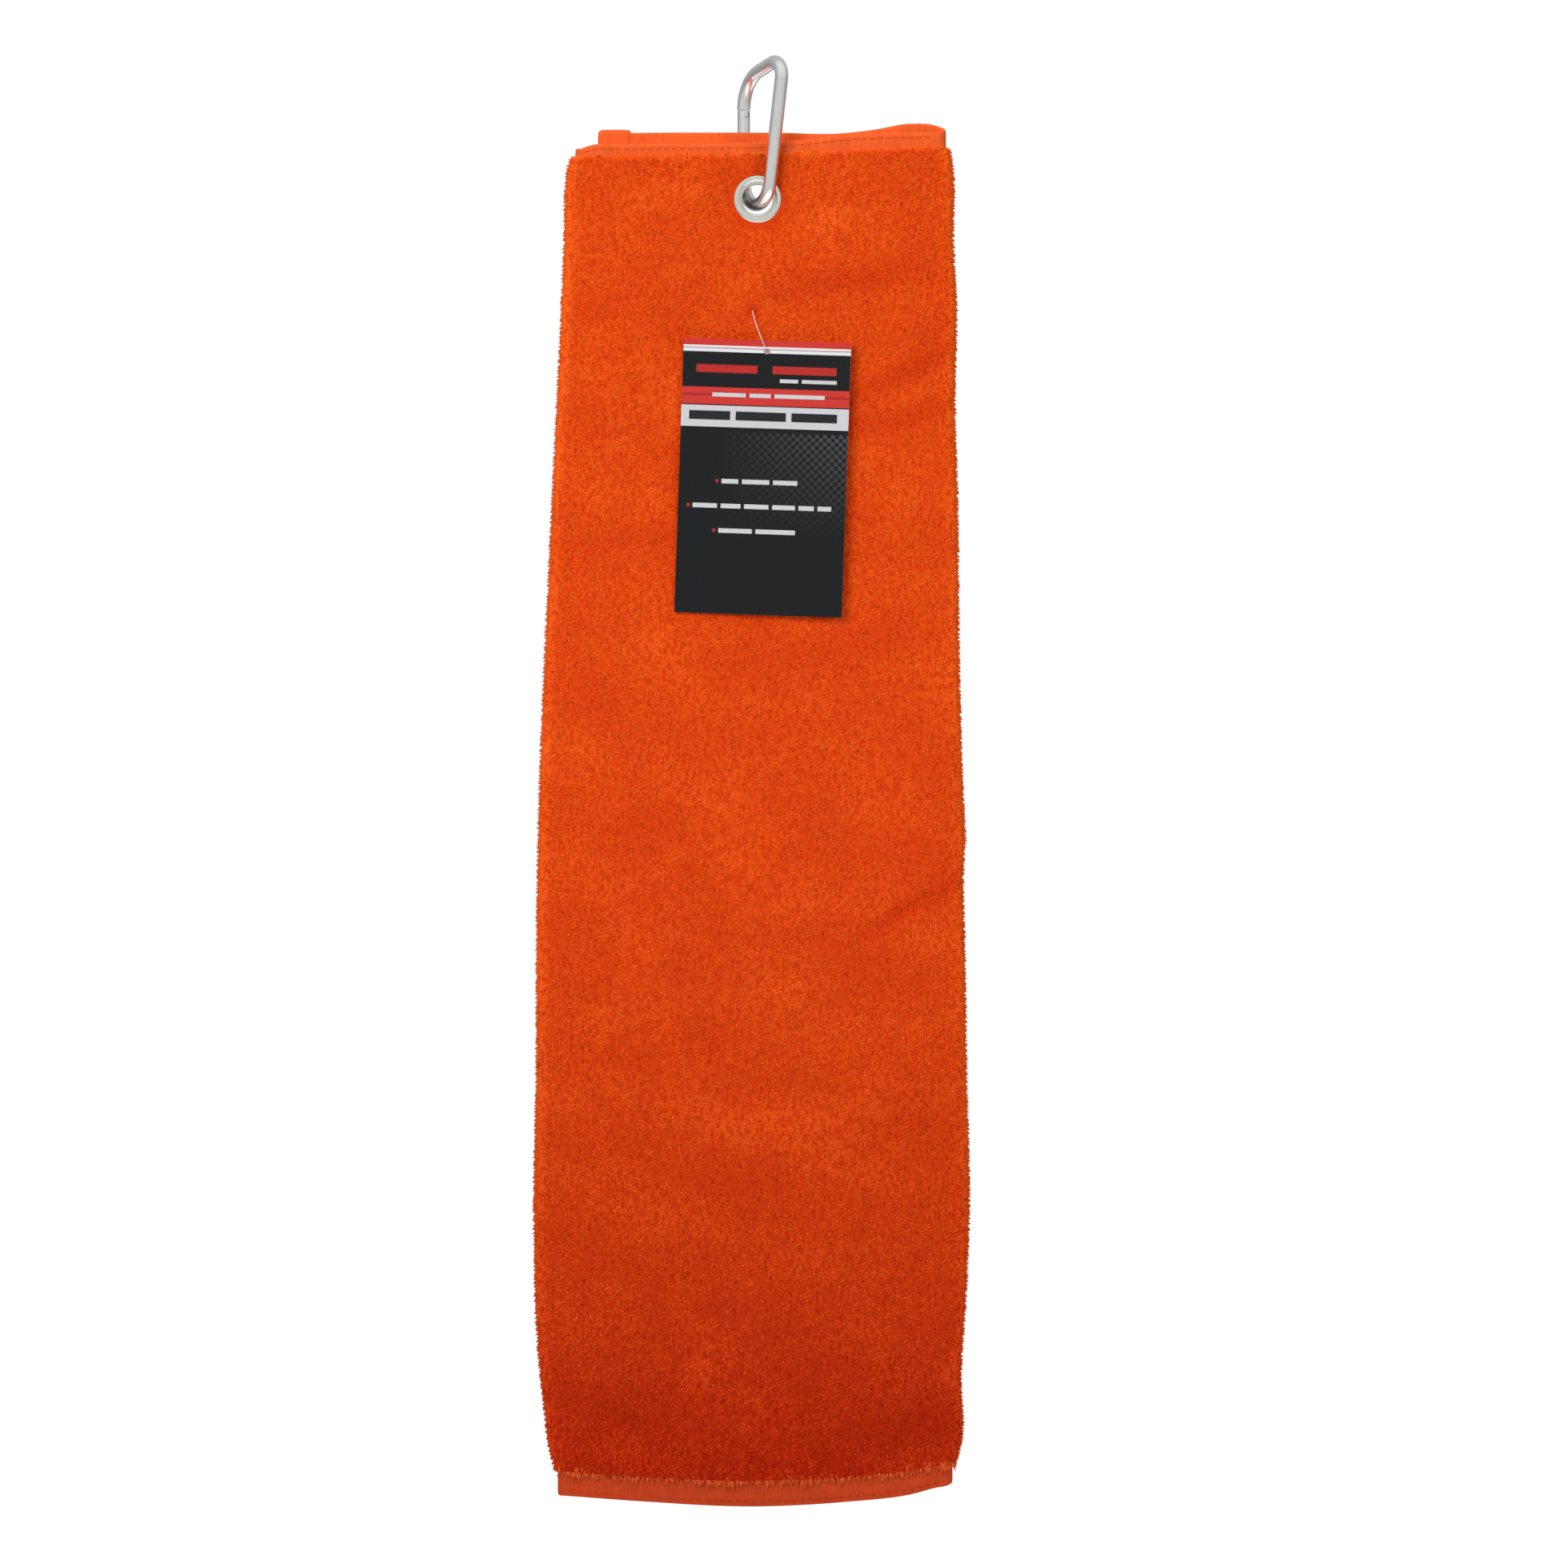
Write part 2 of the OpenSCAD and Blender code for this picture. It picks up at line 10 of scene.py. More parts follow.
import bpy
import numpy as np
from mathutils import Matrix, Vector


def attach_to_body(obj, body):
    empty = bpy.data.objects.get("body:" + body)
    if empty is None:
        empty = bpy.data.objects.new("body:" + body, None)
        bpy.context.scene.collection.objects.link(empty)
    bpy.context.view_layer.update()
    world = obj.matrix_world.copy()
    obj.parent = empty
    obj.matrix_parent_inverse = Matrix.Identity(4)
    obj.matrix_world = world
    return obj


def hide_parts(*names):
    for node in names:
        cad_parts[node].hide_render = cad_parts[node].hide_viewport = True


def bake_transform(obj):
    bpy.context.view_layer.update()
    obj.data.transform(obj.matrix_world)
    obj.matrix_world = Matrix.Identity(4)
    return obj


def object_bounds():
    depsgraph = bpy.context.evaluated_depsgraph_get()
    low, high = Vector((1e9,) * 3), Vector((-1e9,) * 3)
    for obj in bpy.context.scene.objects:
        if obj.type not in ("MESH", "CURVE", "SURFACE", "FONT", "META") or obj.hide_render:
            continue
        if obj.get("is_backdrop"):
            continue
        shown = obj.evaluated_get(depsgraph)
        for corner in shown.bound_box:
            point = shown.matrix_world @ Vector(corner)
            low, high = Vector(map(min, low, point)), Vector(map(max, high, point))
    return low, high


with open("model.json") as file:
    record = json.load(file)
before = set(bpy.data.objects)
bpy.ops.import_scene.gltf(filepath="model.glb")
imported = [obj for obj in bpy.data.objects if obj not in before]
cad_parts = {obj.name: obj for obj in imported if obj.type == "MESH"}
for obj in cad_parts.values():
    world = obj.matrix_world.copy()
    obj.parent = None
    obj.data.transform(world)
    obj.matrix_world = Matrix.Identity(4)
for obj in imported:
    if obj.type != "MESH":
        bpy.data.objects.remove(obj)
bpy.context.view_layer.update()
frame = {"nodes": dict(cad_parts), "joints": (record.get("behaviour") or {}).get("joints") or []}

MM = 0.001
JOINTS = {joint["name"]: joint for joint in frame["joints"]}
HOLE = np.array(JOINTS["towel_swing"]["pos_m"])

# the two fold edges of the pile: height, then place across
LEFT_EDGE = [(-418, -66.7), (-410, -68.7), (-398, -70.3), (-377, -72.4), (-334, -73.7), (-286, -72.9),
             (-242, -72.8), (-196, -71.9), (-105, -68), (-14, -63.8), (6, -63.2), (11, -62.5), (14, -61.4)]
RIGHT_EDGE = [(-416, 65.2), (-406, 67.6), (-388, 67.2), (-357, 69), (-333, 69.9), (-286, 69), (-240, 68.3),
              (-221, 67.9), (-211, 68.6), (-196, 67.9), (-168, 67), (-135, 66.4), (-105, 66.2),
              (-63, 65.2), (-35, 65.7), (-14, 64.7), (12, 64.4), (17, 63.6)]
# the woven bands' outer edges and the lines where the pile begins: across, then height
FRONT_TOP = [(-60, 15.6), (-56, 17.3), (-41, 18.1), (-7, 18.4), (9, 19), (32, 21.3), (66, 22)]
REAR_TOP = [(-54, 21.8), (-38, 22.1), (-14, 22.2), (8, 22.1), (27, 21.9), (38, 23.1), (50, 25.1), (56, 25),
            (61, 24.1), (66, 24.8)]
PILE_TOP = [(-66, 13.4), (0, 14.6), (66, 17)]
FRONT_FOOT = [(-64, -425.6), (-38, -427.5), (-1, -429.2), (30, -427.6), (50, -425.3),
              (60, -422.8), (65, -422.3)]
REAR_FOOT = [(-66, -423), (0, -424.5), (66, -420.4)]
PILE_FOOT = [(-66, -417.4), (-38, -419.4), (0, -420.6), (40, -418.4), (66, -414.8)]
REAR_EDGE_TOP = -52.4
REAR_EDGE_LOW = -60.0
SIDE_HEM_W = 11.0
SIDE_HEM_TOP = 23.1

# depths of the pile layers' middles, from the front of the pack to its back
FRONT_Y = -2.65
REAR_Y = 2.65
CLOTH_HALF = 1.05
LEFT_ROLL_IN = 2.825
RIGHT_ROLL_IN = 4.3
HEM_Y = 2.15
SIDE_HEM_Y = 2.55
HEM_HALF = 0.85
HEM_INSET = 2.5
FLANGE_R = 8.0
EYELET_CUT = 6.6
CLAMPED = 0.63


def smooth_table(points):
    """A function that runs smoothly through a table of points."""
    xs, ys = np.array(sorted(points), float).T
    slopes = np.gradient(ys, xs)

    def value(x):
        x = np.clip(np.asarray(x, float), xs[0], xs[-1])
        i = np.clip(np.searchsorted(xs, x) - 1, 0, len(xs) - 2)
        h = xs[i + 1] - xs[i]
        t = (x - xs[i]) / h
        a = (2 * t**3 - 3 * t**2 + 1) * ys[i] + (t**3 - 2 * t**2 + t) * h * slopes[i]
        b = (3 * t**2 - 2 * t**3) * ys[i + 1] + (t**3 - t**2) * h * slopes[i + 1]
        return a + b

    return value


left_x = smooth_table(LEFT_EDGE)
right_x = smooth_table(RIGHT_EDGE)
front_top = smooth_table(FRONT_TOP)
rear_top = smooth_table(REAR_TOP)
pile_top = smooth_table(PILE_TOP)
front_foot = smooth_table(FRONT_FOOT)
rear_foot = smooth_table(REAR_FOOT)
pile_foot = smooth_table(PILE_FOOT)


def rear_edge(z):
    return REAR_EDGE_TOP + (REAR_EDGE_LOW - REAR_EDGE_TOP) * (23 - z) / 447


def smoothstep(low, high, x):
    t = np.clip((x - low) / (high - low), 0, 1)
    return t * t * (3 - 2 * t)


def waves(x, z, seed, longest, shortest, count=14):
    """Soft uneven undulation between -1 and 1: a sum of plane waves with seeded directions."""
    rng = np.random.default_rng(seed)
    total = np.zeros(np.broadcast(x, z).shape)
    for k in range(count):
        wavelength = shortest + (longest - shortest) * rng.random()
        angle = math.tau * rng.random()
        phase = math.tau * rng.random()
        total += np.sin(math.tau * (x * math.cos(angle) + z * math.sin(angle)) / wavelength + phase)
    return total / math.sqrt(count) / 1.6


def mesh_object(name, vertices, faces, corners, material, smooth=True, values=None):
    """A mesh from arrays: vertices in mm from the eyelet, faces as rows of the given number of corners."""
    mesh = bpy.data.meshes.new(name)
    points = HOLE + MM * np.asarray(vertices, float).reshape(-1, 3)
    mesh.vertices.add(len(points))
    mesh.vertices.foreach_set("co", points.ravel())
    rows = np.asarray(faces, np.int32).reshape(-1, corners)
    mesh.loops.add(rows.size)
    mesh.loops.foreach_set("vertex_index", rows.ravel())
    mesh.polygons.add(len(rows))
    mesh.polygons.foreach_set("loop_start", np.arange(0, rows.size, corners, dtype=np.int32))
    mesh.polygons.foreach_set("use_smooth", np.full(len(rows), smooth))
    mesh.update(calc_edges=True)
    mesh.validate()
    for attribute, data in (values or {}).items():
        layer = mesh.attributes.new(attribute, "FLOAT", "POINT")
        layer.data.foreach_set("value", np.asarray(data, np.float32).ravel())
    obj = bpy.data.objects.new(name, mesh)
    bpy.context.scene.collection.objects.link(obj)
    mesh.materials.append(material)
    return obj


def grid_normals(grid):
    across, along = np.gradient(grid, axis=0), np.gradient(grid, axis=1)
    normal = np.cross(across, along)
    return normal / np.maximum(np.linalg.norm(normal, axis=2, keepdims=True), 1e-9)


def grid_faces(nu, nv, start=0, flipped=False):
    i, j = np.meshgrid(np.arange(nu - 1), np.arange(nv - 1), indexing="ij")
    a = start + (i * nv + j).ravel()
    quads = np.stack([a, a + nv, a + nv + 1, a + 1], axis=1)
    return quads[:, ::-1] if flipped else quads


def shell(name, middle, half, material, hole_r=0.0, paint_nap_and_light=None):
    """A closed sheet of cloth around a grid of middle points, half thick on each side, open inside hole_r."""
    nu, nv, _ = middle.shape
    normal = grid_normals(middle)
    half = np.broadcast_to(half, (nu, nv))[..., None]
    outer, inner = middle + normal * half, middle - normal * half
    flat = middle.reshape(-1, 3)
    quads = grid_faces(nu, nv)
    centre = flat[quads].mean(1)
    quads = quads[np.hypot(centre[:, 0], centre[:, 2]) > hole_r]
    edges = np.concatenate([quads[:, [k, (k + 1) % 4]] for k in range(4)])
    code = edges[:, 0] * flat.shape[0] + edges[:, 1]
    border = edges[~np.isin(code, edges[:, 1] * flat.shape[0] + edges[:, 0])]
    count = nu * nv
    walls = np.stack([border[:, 1], border[:, 0], border[:, 0] + count, border[:, 1] + count], axis=1)
    faces = np.concatenate([quads, quads[:, ::-1] + count, walls])
    used, compact = np.unique(faces, return_inverse=True)
    points = np.concatenate([outer, inner]).reshape(-1, 3)[used]
    # the pile's lay, with its painted shade and painted highlights, goes on the cloth as an attribute
    values = {"nap_and_painted_light": paint_nap_and_light(points)} if paint_nap_and_light else None
    return mesh_object(name, points, compact.reshape(-1, 4), 4, material, values=values)


def pinch(points):
    """Presses the pack together where the eyelet clamps it, and puckers the cloth around it."""
    moved = points.copy()
    r = np.hypot(points[..., 0], points[..., 2])
    angle = np.arctan2(points[..., 2], points[..., 0])
    open_share = smoothstep(FLANGE_R - 1, 19, r)
    pucker = 0.05 * np.sin(7 * angle + 0.6) * np.exp(-((r - 14) / 6) ** 2)
    moved[..., 1] *= CLAMPED + (1 - CLAMPED) * open_share + pucker
    return moved


def folded_path(low, high, rear_low, rear_high, inset, side_y, rows, step, tail):
    """Grid of middle points of the cloth's path: inner layer, left fold, front layer, right fold and a
    short tail on the rear. Returns the grid and the column ranges of its stretches."""
    left_in = LEFT_ROLL_IN if inset == 0 else inset + 1.075
    right_in = RIGHT_ROLL_IN if inset == 0 else inset + HEM_Y
    left_r, right_r = side_y / 2, side_y
    v = np.asarray(rows)
    columns, stretches = [], {}

    def z_at(x, rear=0.0):
        lo = low(x) * (1 - rear) + rear_low(x) * rear
        hi = high(x) * (1 - rear) + rear_high(x) * rear
        return lo + v * (hi - lo)

    z_left = z_at(np.full(v.shape, -66.0))
    z_right = z_at(np.full(v.shape, 66.0))
    xl, xr = left_x(z_left) + left_in, right_x(z_right) - right_in
    free = xr - 1 - SIDE_HEM_W + (RIGHT_ROLL_IN - right_in if inset else 0)

    def add(name, count, place):
        stretches[name] = (len(columns), len(columns) + count)
        for k in range(count):
            columns.append(place(k / max(count - 1, 1)))

    def flat(x0, x1, y, rear=0.0):
        def place(f):
            x = x0 + f * (x1 - x0)
            return np.stack([x, np.full(v.shape, y), z_at(x, rear)], axis=1)
        return place

    def roll(x, r, centre_y, a0, a1, rear0=0.0, rear1=0.0):
        def place(f):
            a = math.radians(a0 + f * (a1 - a0))
            share = rear0 + f * (rear1 - rear0)
            y = np.full(v.shape, centre_y + r * math.sin(a))
            return np.stack([x + r * math.cos(a), y, z_at(x, share)], axis=1)
        return place

    width = float(np.mean(xr - xl))
    add("inner", int((width - 12) / step / 2), flat(free, xl + 0.3, 0.0))
    add("left_fold", 13, roll(xl, left_r, -left_r, 90, 270))
    add("front", int(width / step), flat(xl + 0.3, xr - 0.3, -side_y))
    add("right_fold", 15, roll(xr, right_r, 0.0, -90, 90, 0.0, 1.0))
    add("tail", 4, flat(xr - 0.3, xr - tail, side_y, 1.0))
    return np.stack(columns), stretches


def relief(points, stretch, stretches):
    """Soft undulation of the front layer, standing forward only, and gentler on the folds."""
    x, z = points[..., 0], points[..., 2]
    first, last = stretches[stretch]
    share = np.zeros(points.shape[0])
    column = np.arange(last - first)
    share[first:last] = smoothstep(0, 12, column) * smoothstep(0, 12, column[::-1])
    forward = 0.42 * (1 + waves(x, z, 5, 120, 38)) + 0.16 * waves(x, z, 6, 30, 14)
    forward += crease(x, z, (52, -231), (13, 2.8), 30, 1.3) + crease(x, z, (50, -60), (13, 4), 30, 0.5)
    forward += crease(x, z, (44, -74), (15, 3.5), 24, 0.4) + crease(x, z, (-50, -150), (16, 4), -20, 0.35)
    dimple = 1.1 * np.exp(-(((x + 1.5) ** 2 + (z + 36.7) ** 2) / 2.6**2))
    r = np.hypot(x, z)
    points[..., 1] -= share[:, None] * (forward * smoothstep(9, 26, r) - dimple)
    return points


# patches painted into the pile's lay: the dark ones along the creases and at the filament's dimple are
# painted shade, the others uneven brushing of the pile:
# centre across, centre up, half length, half width, angle, strength
PILE_PATCHES_AND_CREASE_SHADE = [(50, -56, 15, 3.2, 24, -1.1), (54, -70, 13, 2.8, 18, -1.0), (32, -26, 17, 4.5, 10, -0.9),
           (-54, -36, 9, 5, 30, -0.6), (51, -232, 15, 2.4, 30, -1.7), (50, -402, 17, 6, 8, -0.7),
           (-30, -110, 26, 7, -8, -0.35), (20, -150, 30, 6, 12, -0.35), (-46, -398, 12, 5, -20, -0.5),
           (-1.5, -36.9, 1.5, 1.5, 0, -3.0), (8, -300, 24, 9, 5, 0.4), (-20, -60, 14, 9, 40, 0.4),
           (22, -8, 14, 6, 20, 0.45), (-36, 2, 14, 5, 0, 0.35)]


def nap_and_painted_light(points):
    """How the pile lies at each point, deeper below 0 and brighter above: soft uneven brushing, with a
    painted shadow in a ring round the eyelet, painted shade along the creases and at the filament's dimple,
    and painted highlights along both folds.
    """
    x, y, z = points[..., 0], points[..., 1], points[..., 2]
    total = 0.27 * waves(x, 1.7 * z, 71, 80, 36) + 0.12 * waves(x, 1.4 * z, 72, 24, 11)
    # painted shadow: a dark ring in the pile round the eyelet's flange
    total = total - 0.9 * np.exp(-(((np.hypot(x, z) - FLANGE_R - 0.5) / 1.2) ** 2))
    for cx, cz, long, wide, angle, strength in PILE_PATCHES_AND_CREASE_SHADE:
        c, s = math.cos(math.radians(angle)), math.sin(math.radians(angle))
        along, over = (x - cx) * c + (z - cz) * s, -(x - cx) * s + (z - cz) * c
        total = total + strength * np.exp(-((along / long) ** 2) - (over / wide) ** 2) * (y < 0)
    # painted highlight: the pile along both folds is painted brighter, where the folds catch the light
    rim = np.maximum(smoothstep(5.5, 0.5, x - left_x(z)), 1.3 * smoothstep(5.5, 0.5, right_x(z) - x))
    return total + 0.9 * rim


def crease(x, z, centre, size, angle, depth):
    """A soft valley with a raised lip beside it."""
    c, s = math.cos(math.radians(angle)), math.sin(math.radians(angle))
    along = (x - centre[0]) * c + (z - centre[1]) * s
    over = -(x - centre[0]) * s + (z - centre[1]) * c
    envelope = np.exp(-((along / size[0]) ** 2) - (over / (2 * size[1])) ** 2)
    return -depth * envelope * np.cos(np.clip(over / size[1], -3, 3) * 1.2)


def sample(grid, u, v):
    """Bilinear lookup in a grid of points at fractional column u and row v."""
    nu, nv, _ = grid.shape
    i, j = np.clip(u.astype(int), 0, nu - 2), np.clip(v.astype(int), 0, nv - 2)
    a, b = (u - i)[:, None], (v - j)[:, None]
    low = grid[i, j] * (1 - a) + grid[i + 1, j] * a
    high = grid[i, j + 1] * (1 - a) + grid[i + 1, j + 1] * a
    return low * (1 - b) + high * b


CORNERS = (0, math.tau / 3, 2 * math.tau / 3)


def tuft_mesh(ring, tip):
    """Vertices and faces of open three-sided tufts, from their root corners and their tips."""
    base = 4 * np.arange(len(tip))[:, None]
    faces = np.concatenate([base + [0, 1, 3], base + [1, 2, 3], base + [2, 0, 3]])
    return np.stack(ring + [tip], axis=1).reshape(-1, 3), faces


def tufts(name, grid, normal, columns, spacing, height, lean, radius, seed, material, keep=None, spread=0.35):
    """Pile on one face of a grid: small leaning three-sided tufts, in jittered rows."""
    rng = np.random.default_rng(seed)
    first, last = columns
    part = grid[first:last]
    wide = np.linalg.norm(np.diff(part, axis=0), axis=2).sum(0).mean()
    tall = np.linalg.norm(np.diff(part, axis=1), axis=2).sum(1).mean()
    nu, nv = max(int(wide / spacing), 2), max(int(tall / spacing), 2)
    u, v = np.meshgrid(np.arange(nu) + 0.5, np.arange(nv) + 0.5, indexing="ij")
    u = (u + rng.uniform(-0.5, 0.5, u.shape)) / nu * (last - 1 - first) + first
    v = (v + rng.uniform(-0.5, 0.5, v.shape)) / nv * (grid.shape[1] - 1)
    u, v = u.ravel(), v.ravel()
    root, up = sample(grid, u, v), sample(normal, u, v)
    if keep is not None:
        chosen = keep(root)
        root, up = root[chosen], up[chosen]
    up /= np.linalg.norm(up, axis=1, keepdims=True)
    count = len(root)
    down = np.array([0, 0, -1.0]) + up[:, 2:3] * up
    down /= np.maximum(np.linalg.norm(down, axis=1, keepdims=True), 1e-6)
    side = np.cross(up, down)
    # the nap lies mostly one way, turning slowly from place to place
    turn = 0.5 * waves(root[:, 0], root[:, 2], 21, 70, 30) + spread * rng.normal(size=count)
    lay = down * np.cos(turn)[:, None] + side * np.sin(turn)[:, None]
    size = rng.uniform(0.75, 1.2, count)[:, None]
    spin = rng.uniform(0, math.tau, count)
    ring = []
    for a in CORNERS:
        outward = np.cos(spin + a)[:, None] * down + np.sin(spin + a)[:, None] * side
        ring.append(root - 0.2 * up + radius * size * outward)
    tip = root + size * (height * up + lean * lay)
    vertices, faces = tuft_mesh(ring, tip)
    # tip runs from the roots to the tips, so that the material paints the roots darker: painted shade between
    # the tufts
    values = {"tip": np.tile([0.25, 0.25, 0.25, 1.0], count), "shade": np.repeat(rng.random(count), 4),
              "nap_and_painted_light": np.repeat(nap_and_painted_light(root), 4)}
    return mesh_object(name, vertices, faces, 3, material, values=values)


def stitches(name, line, out, pitch, length, radius, material):
    """Separate lockstitches along a line of points, each a small pod that dips in at both ends."""
    line = np.asarray(line, float)
    steps = np.linalg.norm(np.diff(line, axis=0), axis=1)
    run = np.concatenate([[0], np.cumsum(steps)])
    count = int(run[-1] / pitch)
    sides, profile = 6, [(-1, 0.25, -0.5), (-0.6, 0.9, 0.1), (0, 1.0, 0.35), (0.6, 0.9, 0.1), (1, 0.25, -0.5)]
    out = np.asarray(out, float)
    vertices, faces = [], []
    for k in range(count):
        s = (k + 0.5) * pitch
        centre = np.array([np.interp(s, run, line[:, a]) for a in range(3)])
        ahead = np.array([np.interp(s + 0.1, run, line[:, a]) for a in range(3)]) - centre
        ahead /= np.linalg.norm(ahead)
        side = np.cross(ahead, out)
        start = len(vertices)
        for along, wide, lift in profile:
            for j in range(sides):
                a = math.tau * j / sides
                over = out * (radius * (lift + wide * math.sin(a))) + side * radius * wide * math.cos(a)
                vertices.append(centre + ahead * along * length / 2 + over)
        for ring in range(len(profile) - 1):
            for j in range(sides):
                a, b = start + ring * sides + j, start + ring * sides + (j + 1) % sides
                faces.append([a, b, b + sides, a + sides])
    return mesh_object(name, vertices, faces, 4, material)


# ---------------------------------------------------------------- materials


def new_material(name):
    material = bpy.data.materials.new(name)
    material.use_nodes = True
    tree = material.node_tree
    shader = tree.nodes["Principled BSDF"]
    return material, tree, shader


def link(tree, source, target):
    tree.links.new(source, target)


def node(tree, kind, **settings):
    made = tree.nodes.new(kind)
    for key, value in settings.items():
        setattr(made, key, value)
    return made


def preset(made, values):
    """Sets a node's inputs by name."""
    for key, value in values.items():
        made.inputs[key].default_value = value


def place_coordinates(tree, scale=(1, 1, 1)):
    """Object coordinates, the same for every piece of the cloth, scaled per axis."""
    coordinates = node(tree, "ShaderNodeTexCoord")
    mapping = node(tree, "ShaderNodeMapping")
    mapping.inputs["Scale"].default_value = scale
    link(tree, coordinates.outputs["Object"], mapping.inputs["Vector"])
    return mapping.outputs["Vector"]


def noise(tree, vector, scale, detail=2.0, roughness=0.5):
    made = node(tree, "ShaderNodeTexNoise")
    preset(made, {"Scale": scale, "Detail": detail, "Roughness": roughness})
    link(tree, vector, made.inputs["Vector"])
    return made.outputs["Fac"]


def remap(tree, value, from_low, from_high, to_low, to_high):
    made = node(tree, "ShaderNodeMapRange")
    preset(made, {"From Min": from_low, "From Max": from_high, "To Min": to_low, "To Max": to_high})
    link(tree, value, made.inputs["Value"])
    return made.outputs["Result"]


def calculate(tree, operation, a, b):
    made = node(tree, "ShaderNodeMath", operation=operation)
    for socket, value in zip(made.inputs, (a, b)):
        if isinstance(value, (int, float)):
            socket.default_value = value
        else:
            link(tree, value, socket)
    return made.outputs["Value"]


def mix_colour(tree, factor, a, b, blend="MIX"):
    made = node(tree, "ShaderNodeMix", data_type="RGBA", blend_type=blend)
    for key, value in ((0, factor), (6, a), (7, b)):
        socket = made.inputs[key]
        if isinstance(value, (int, float)):
            socket.default_value = value
        elif isinstance(value, tuple):
            socket.default_value = (*value, 1.0)
        else:
            link(tree, value, socket)
    return made.outputs[2]


def bump(tree, shader, height, strength, distance):
    made = node(tree, "ShaderNodeBump")
    preset(made, {"Strength": strength, "Distance": distance})
    link(tree, height, made.inputs["Height"])
    link(tree, made.outputs["Normal"], shader.inputs["Normal"])


def attribute(tree, name):
    made = node(tree, "ShaderNodeAttribute", attribute_name=name)
    return made.outputs["Fac"]


def towel_height(tree):
    """How far up the towel a point is: 0 at the foot, 1 at the eyelet."""
    split = node(tree, "ShaderNodeSeparateXYZ")
    link(tree, place_coordinates(tree), split.inputs["Vector"])
    return remap(tree, split.outputs["Z"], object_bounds()[0][2], HOLE[2], 0.0, 1.0)


def painted_shade_down_the_towel(tree, top, foot):
    """A colour that stays even down to the middle of the towel and deepens towards its foot: painted shade,
    standing in for the light falling off down the hanging towel.
    """
    depth = calculate(tree, "SUBTRACT", 1.0, towel_height(tree))
    return mix_colour(tree, calculate(tree, "POWER", depth, 3.0), top, foot)


def velour(name, deep, bright, sheen=0.3):
    """Sheared cotton pile: deep colour between the tufts, at their roots and in dark flecks, which is painted
    shade, and where the pile is brushed away; bright on the tips.
    """
    material, tree, shader = new_material(name)
    flecks = noise(tree, place_coordinates(tree, (1.0, 1.0, 0.55)), 820.0, 1.0)
    clumps = noise(tree, place_coordinates(tree, (1.0, 1.0, 0.8)), 240.0, 2.0)
    fine = remap(tree, attribute(tree, "shade"), 0, 1, -0.15, 0.15)
    # painted shade: the tufts' roots and the cloth under them are painted deeper than the tips
    fine = calculate(tree, "ADD", fine, remap(tree, attribute(tree, "tip"), 0, 1, -0.2, 0.14))
    # painted shade: the flecks' dark dips stand for the gaps between the tufts
    fine = calculate(tree, "ADD", fine, remap(tree, flecks, 0.3, 0.56, -0.36, 0.12))
    # the fine mottle, with its painted shade between the tufts, is painted stronger towards the foot than
    # near the top
    fine = calculate(tree, "MULTIPLY", fine, remap(tree, towel_height(tree), 0, 1, 1.45, 1.05))
    # the pile's lay, read from the mesh, also carries painted shade and painted highlights
    share = remap(tree, attribute(tree, "nap_and_painted_light"), -1.0, 1.0, -0.52, 0.52)
    share = calculate(tree, "ADD", share, remap(tree, clumps, 0.3, 0.7, -0.06, 0.06))
    share = calculate(tree, "ADD", calculate(tree, "ADD", share, fine), 0.42)
    colour = mix_colour(tree, share, painted_shade_down_the_towel(tree, *deep), painted_shade_down_the_towel(tree, *bright))
    link(tree, colour, shader.inputs["Base Color"])
    preset(shader, {"Roughness": 0.92, "Specular IOR Level": 0.05, "Sheen Weight": sheen,
                    "Sheen Roughness": 0.45, "Sheen Tint": (1.0, 0.14, 0.02, 1.0)})
    bump(tree, shader, flecks, 0.3, 0.0006)
    return material


def woven(name, top, foot):
    """Flat woven band: fine upright cords, slightly uneven in colour."""
    material, tree, shader = new_material(name)
    cords = noise(tree, place_coordinates(tree, (1.0, 1.0, 0.12)), 1300.0, 1.5)
    uneven = remap(tree, noise(tree, place_coordinates(tree), 160.0, 2.0), 0.3, 0.7, 0.93, 1.07)
    tone = calculate(tree, "MULTIPLY", uneven, remap(tree, cords, 0.3, 0.7, 0.94, 1.05))
    grey = node(tree, "ShaderNodeCombineColor")
    for k in range(3):
        link(tree, tone, grey.inputs[k])
    # painted shade: the band's colour darkens towards the foot
    colour = mix_colour(tree, 1.0, painted_shade_down_the_towel(tree, top, foot), grey.outputs["Color"], "MULTIPLY")
    link(tree, colour, shader.inputs["Base Color"])
    preset(shader, {"Roughness": 0.85, "Specular IOR Level": 0.1, "Sheen Weight": 0.12,
                    "Sheen Roughness": 0.5, "Sheen Tint": (1.0, 0.4, 0.2, 1.0)})
    bump(tree, shader, cords, 0.5, 0.0003)
    return material


def sewing_thread(name, top, foot):
    material, tree, shader = new_material(name)
    twist = noise(tree, place_coordinates(tree, (1.0, 1.0, 0.5)), 3000.0, 1.0)
    # painted shade: the thread's colour darkens towards the foot
    link(tree, painted_shade_down_the_towel(tree, top, foot), shader.inputs["Base Color"])
    preset(shader, {"Roughness": 0.8, "Specular IOR Level": 0.1})
    bump(tree, shader, twist, 0.4, 0.0001)
    return material


